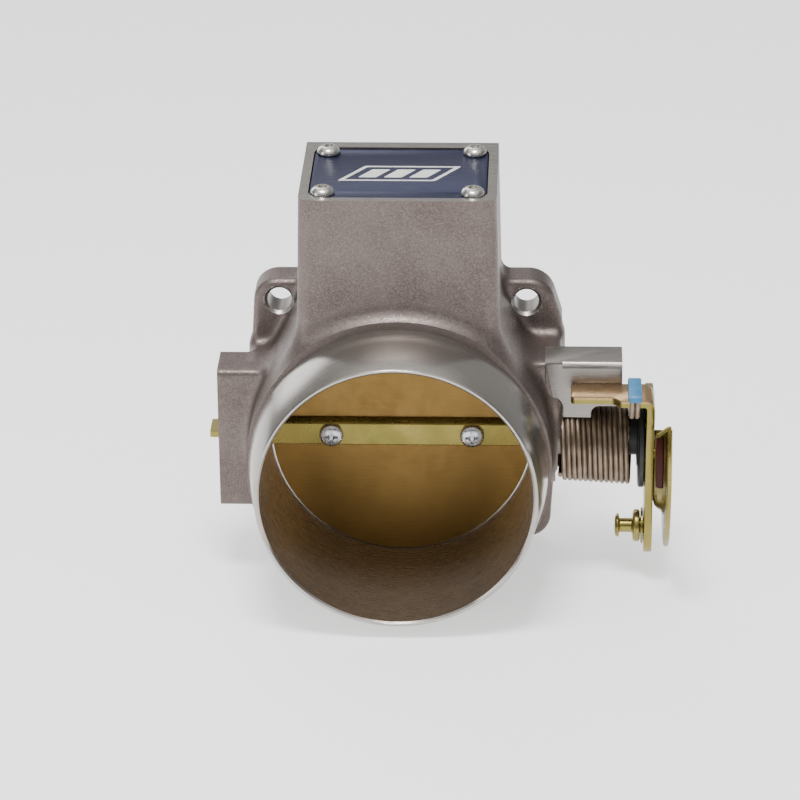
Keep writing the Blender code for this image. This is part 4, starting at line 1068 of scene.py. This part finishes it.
# ---- springs ----
def spring_points(end_x):
    """Centre line of one spring, wound towards the lever, with a leg that hooks its arm."""
    hook_y = TOP_FRONT - GAP - WIRE_RADIUS
    corner_z = ARM_TOP - LEVER_THICK - 2.4
    reach_y, reach_z = hook_y - SAG_END[0], corner_z - SAG_END[1]
    leave = math.atan2(reach_z, reach_y) - math.acos(COIL_RADIUS / math.hypot(reach_y, reach_z))
    turns = (end_x - COIL_START_X) / COIL_PITCH
    points = []
    for share in np.linspace(0, 1, round(turns * 40)):
        angle = leave - 2 * math.pi * turns * (1 - share)
        sag_y = SAG_START[0] + (SAG_END[0] - SAG_START[0]) * share
        sag_z = SAG_START[1] + (SAG_END[1] - SAG_START[1]) * share
        x = COIL_START_X + (end_x - COIL_START_X) * share
        y = SHAFT_Y + sag_y + COIL_RADIUS * math.cos(angle)
        points.append((x, y, sag_z + COIL_RADIUS * math.sin(angle)))
    leg_x = end_x + 0.6
    points.append((leg_x - 0.1, SHAFT_Y + hook_y + 1.0, corner_z - 0.3))
    points.append((leg_x - 0.03, SHAFT_Y + hook_y + 0.3, corner_z + 0.1))
    points.append((leg_x, SHAFT_Y + hook_y, corner_z + 0.7))
    points.append((leg_x, SHAFT_Y + hook_y, ARM_TOP + 0.6))
    return points


def springs():
    for word, end_x in (("outer", COIL_END_X + COIL_STAGGER), ("inner", COIL_END_X)):
        coil = wire("torsion_spring_" + word, spring_points(end_x), WIRE_RADIUS)
        node = "return_spring_" + word
        coil.data.materials.append(FINISHES["spring_steel"])
        shade(coil)
        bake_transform(coil)
        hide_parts(node)
    low, high = box_mm("spring_end_sleeve")
    back, front = high.y - SHAFT_Y, low.y - SHAFT_Y
    top, bend = high.z, 1.7
    outline = [(back, low.z), (back, top - 0.7), (back - 0.5, top - 0.1), (back - 1.2, top)]
    outline += arc((front + bend, top - bend), bend, 90, 180, 10) + [(front, low.z)]
    sleeve = extruded("spring_sleeve", [outline], low.x, high.x, "X", SHAFT_AT, edge=0.45)
    place(sleeve, "spring_end_sleeve", "blue_sleeve")


def bush():
    """Black nylon thrust bush between the spigot and the lever."""
    face, seat = BUSH_HIGH.x, BUSH_LOW.x
    bore = SHAFT_RADIUS + 0.4
    flange, collar = face - 1.8, face - 2.2
    outer, drop = (BUSH_HIGH.z - BUSH_LOW.z) / 2, (BUSH_HIGH.z + BUSH_LOW.z) / 2
    profile = [(0, face), (10.6, face), (10.6, collar + 0.2), (10.4, collar)]
    profile += [(SPIGOT_RADIUS, collar), (SPIGOT_RADIUS, seat), (0, seat)]
    item = lathe("thrust_bush", profile, "X", SHAFT_AT, 96)
    disc = [(0, face), (outer - 0.3, face), (outer, face - 0.3), (outer, flange + 0.4)]
    disc += [(outer - 0.4, flange), (0, flange)]
    combine(item, [lathe("bush_disc", disc, "X", (0, SHAFT_Y, drop), 96)], "UNION")
    hole = [(0, face + 2), (bore, face + 2), (bore, seat - 2), (0, seat - 2)]
    combine(item, [lathe("bush_bore", hole, "X", SHAFT_AT, 64)])
    place(item, "spring_bush", "black_nylon")


def rivets():
    """Round-headed rivets that hold the cam on the lever."""
    for index in (1, 2, 3):
        node = "cam_rivet_{}".format(index)
        low, high = box_mm(node)
        middle, seat = (low + high) / 2, high.x - 1.5
        profile = [(0, high.x), (1.0, high.x - 0.05), (1.8, high.x - 0.3), (2.5, high.x - 0.7)]
        profile += [(3.0, high.x - 1.15), (3.2, seat), (1.8, seat), (1.8, low.x), (0, low.x)]
        item = lathe("cam_fixing_{}".format(index), profile, "X", (0, middle.y, middle.z), 40)
        place(item, node, "yellow_zinc_steel")


# ---- CAD nodes that stay, with better finishes ----
def dress_nodes():
    finishes = {
        "cover_gasket": "gasket_fibre", "shaft_bearing_left": "bronze",
        "shaft_bearing_right": "bronze", "shaft_seal_left": "seal_rubber",
        "shaft_seal_right": "seal_rubber", "idle_stop_screw": "bright_zinc_steel",
        "idle_stop_locknut": "bright_zinc_steel",
    }
    for name, finish in finishes.items():
        for slot in frame["nodes"][name].material_slots:
            slot.material = FINISHES[finish]


# ---- stage ----
def stage():
    """Plain pale floor, an overhead softbox, a weak fill at the left, and the studio's light."""
    reach, drop = 6.0, HOUSING_LOW.z * MM - 0.0005
    tone, glow = 0.88, 0.85
    mesh = bpy.data.meshes.new("floor")
    mesh.from_pydata([(-reach, -reach, drop), (reach, -reach, drop), (reach, reach, drop),
                      (-reach, reach, drop)], [], [(0, 1, 2, 3)])
    floor = add_object("floor", mesh)
    pale = bpy.data.materials.new("pale_floor")
    pale.use_nodes = True
    shader = pale.node_tree.nodes["Principled BSDF"]
    shader.inputs["Base Color"].default_value = (tone, tone, tone, 1)
    shader.inputs["Roughness"].default_value = 1.0
    shader.inputs["Specular IOR Level"].default_value = 0.0
    shader.inputs["Emission Color"].default_value = (1, 1, 1, 1)
    shader.inputs["Emission Strength"].default_value = glow
    mesh.materials.append(pale)
    floor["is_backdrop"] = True
    studio()
    softbox("key", (-0.04, -0.36, 0.9), (0.32, 0.22), 10.0)
    softbox("left_fill", (-0.8, -0.45, 0.3), (0.3, 0.45), 1.5)


def studio():
    """World light: a bright ceiling, a pale back wall, and two bright panels behind at the left.

    Each patch is a direction, the cosines at which it starts and is full, and its strength.
    """
    world = bpy.data.worlds.new("studio")
    world.use_nodes = True
    tree = world.node_tree
    background = tree.nodes["Background"]
    ray = tree.nodes.new("ShaderNodeTexCoord").outputs["Generated"]
    total = None
    surrounding = 0.15
    patches = (
        ((0, -0.3, 0.95), 0.5, 0.9, 0.9), ((0, 1, 0.1), -0.1, 0.7, 0.25),
        ((-0.22, 0.76, 0.62), 0.95, 0.99, 3.0), ((-0.6, 0.79, 0.26), 0.95, 0.99, 3.0),
    )
    for toward, start, full, power in patches:
        dot = tree.nodes.new("ShaderNodeVectorMath")
        dot.operation = "DOT_PRODUCT"
        dot.inputs[1].default_value = Vector(toward).normalized()
        tree.links.new(ray, dot.inputs[0])
        share = tree.nodes.new("ShaderNodeMapRange")
        share.interpolation_type = "SMOOTHSTEP"
        for index, value in enumerate((start, full, 0.0, power), 1):
            share.inputs[index].default_value = value
        tree.links.new(dot.outputs["Value"], share.inputs[0])
        add = tree.nodes.new("ShaderNodeMath")
        add.operation = "ADD"
        add.inputs[1].default_value = surrounding
        tree.links.new(share.outputs[0], add.inputs[0])
        if total is not None:
            tree.links.new(total, add.inputs[1])
        total = add.outputs[0]
    tree.links.new(total, background.inputs["Strength"])
    background.inputs["Color"].default_value = (1, 1, 1, 1)
    bpy.context.scene.world = world


def softbox(name, at, size, power):
    light = bpy.data.lights.new(name, "AREA")
    light.shape = "RECTANGLE"
    light.size, light.size_y = size
    light.energy = power
    item = add_object(name, light)
    item.location = at
    item.rotation_mode = "QUATERNION"
    item.rotation_quaternion = (Vector((0, -0.02, 0.02)) - Vector(at)).to_track_quat("-Z", "Y")


def camera():
    """Camera at the photograph's viewing angle, its lens worked out for a frame 800 pixels wide."""
    focal, elevation, azimuth, roll = 3897.07, math.radians(24.11), math.radians(2.32), -0.5
    distance, offset_x, offset_y = 1200.21, 0.64, -9.05      # from the shaft's middle
    level = math.cos(elevation)
    back = Vector((math.sin(azimuth) * level, -math.cos(azimuth) * level, math.sin(elevation)))
    right = Vector((math.cos(azimuth), math.sin(azimuth), 0))
    turn = Matrix.Rotation(math.radians(roll), 3, back)
    up = turn @ back.cross(right)
    right = turn @ right
    view = bpy.data.cameras.new("camera")
    view.sensor_width = 36
    view.lens = focal / 800 * view.sensor_width
    view.clip_start, view.clip_end = 0.1, 20
    item = add_object("camera", view)
    place_matrix = Matrix((right, up, back)).transposed().to_4x4()
    centre = back * distance - right * offset_x - up * offset_y + Vector((0, SHAFT_Y, 0))
    place_matrix.translation = centre * MM
    item.matrix_world = place_matrix
    bpy.context.scene.camera = item


camera()
stage()
housing()
cover()
shaft()
plate()
for word in ("left", "right"):
    plate_screw(word)
lever()
stud()
cam()
springs()
bush()
rivets()
dress_nodes()


def plain(value):
    return [plain(v) for v in value] if hasattr(value, "__len__") else float(value)


{"cad": plain(CAD_BOUNDS), "visual": plain(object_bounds())}
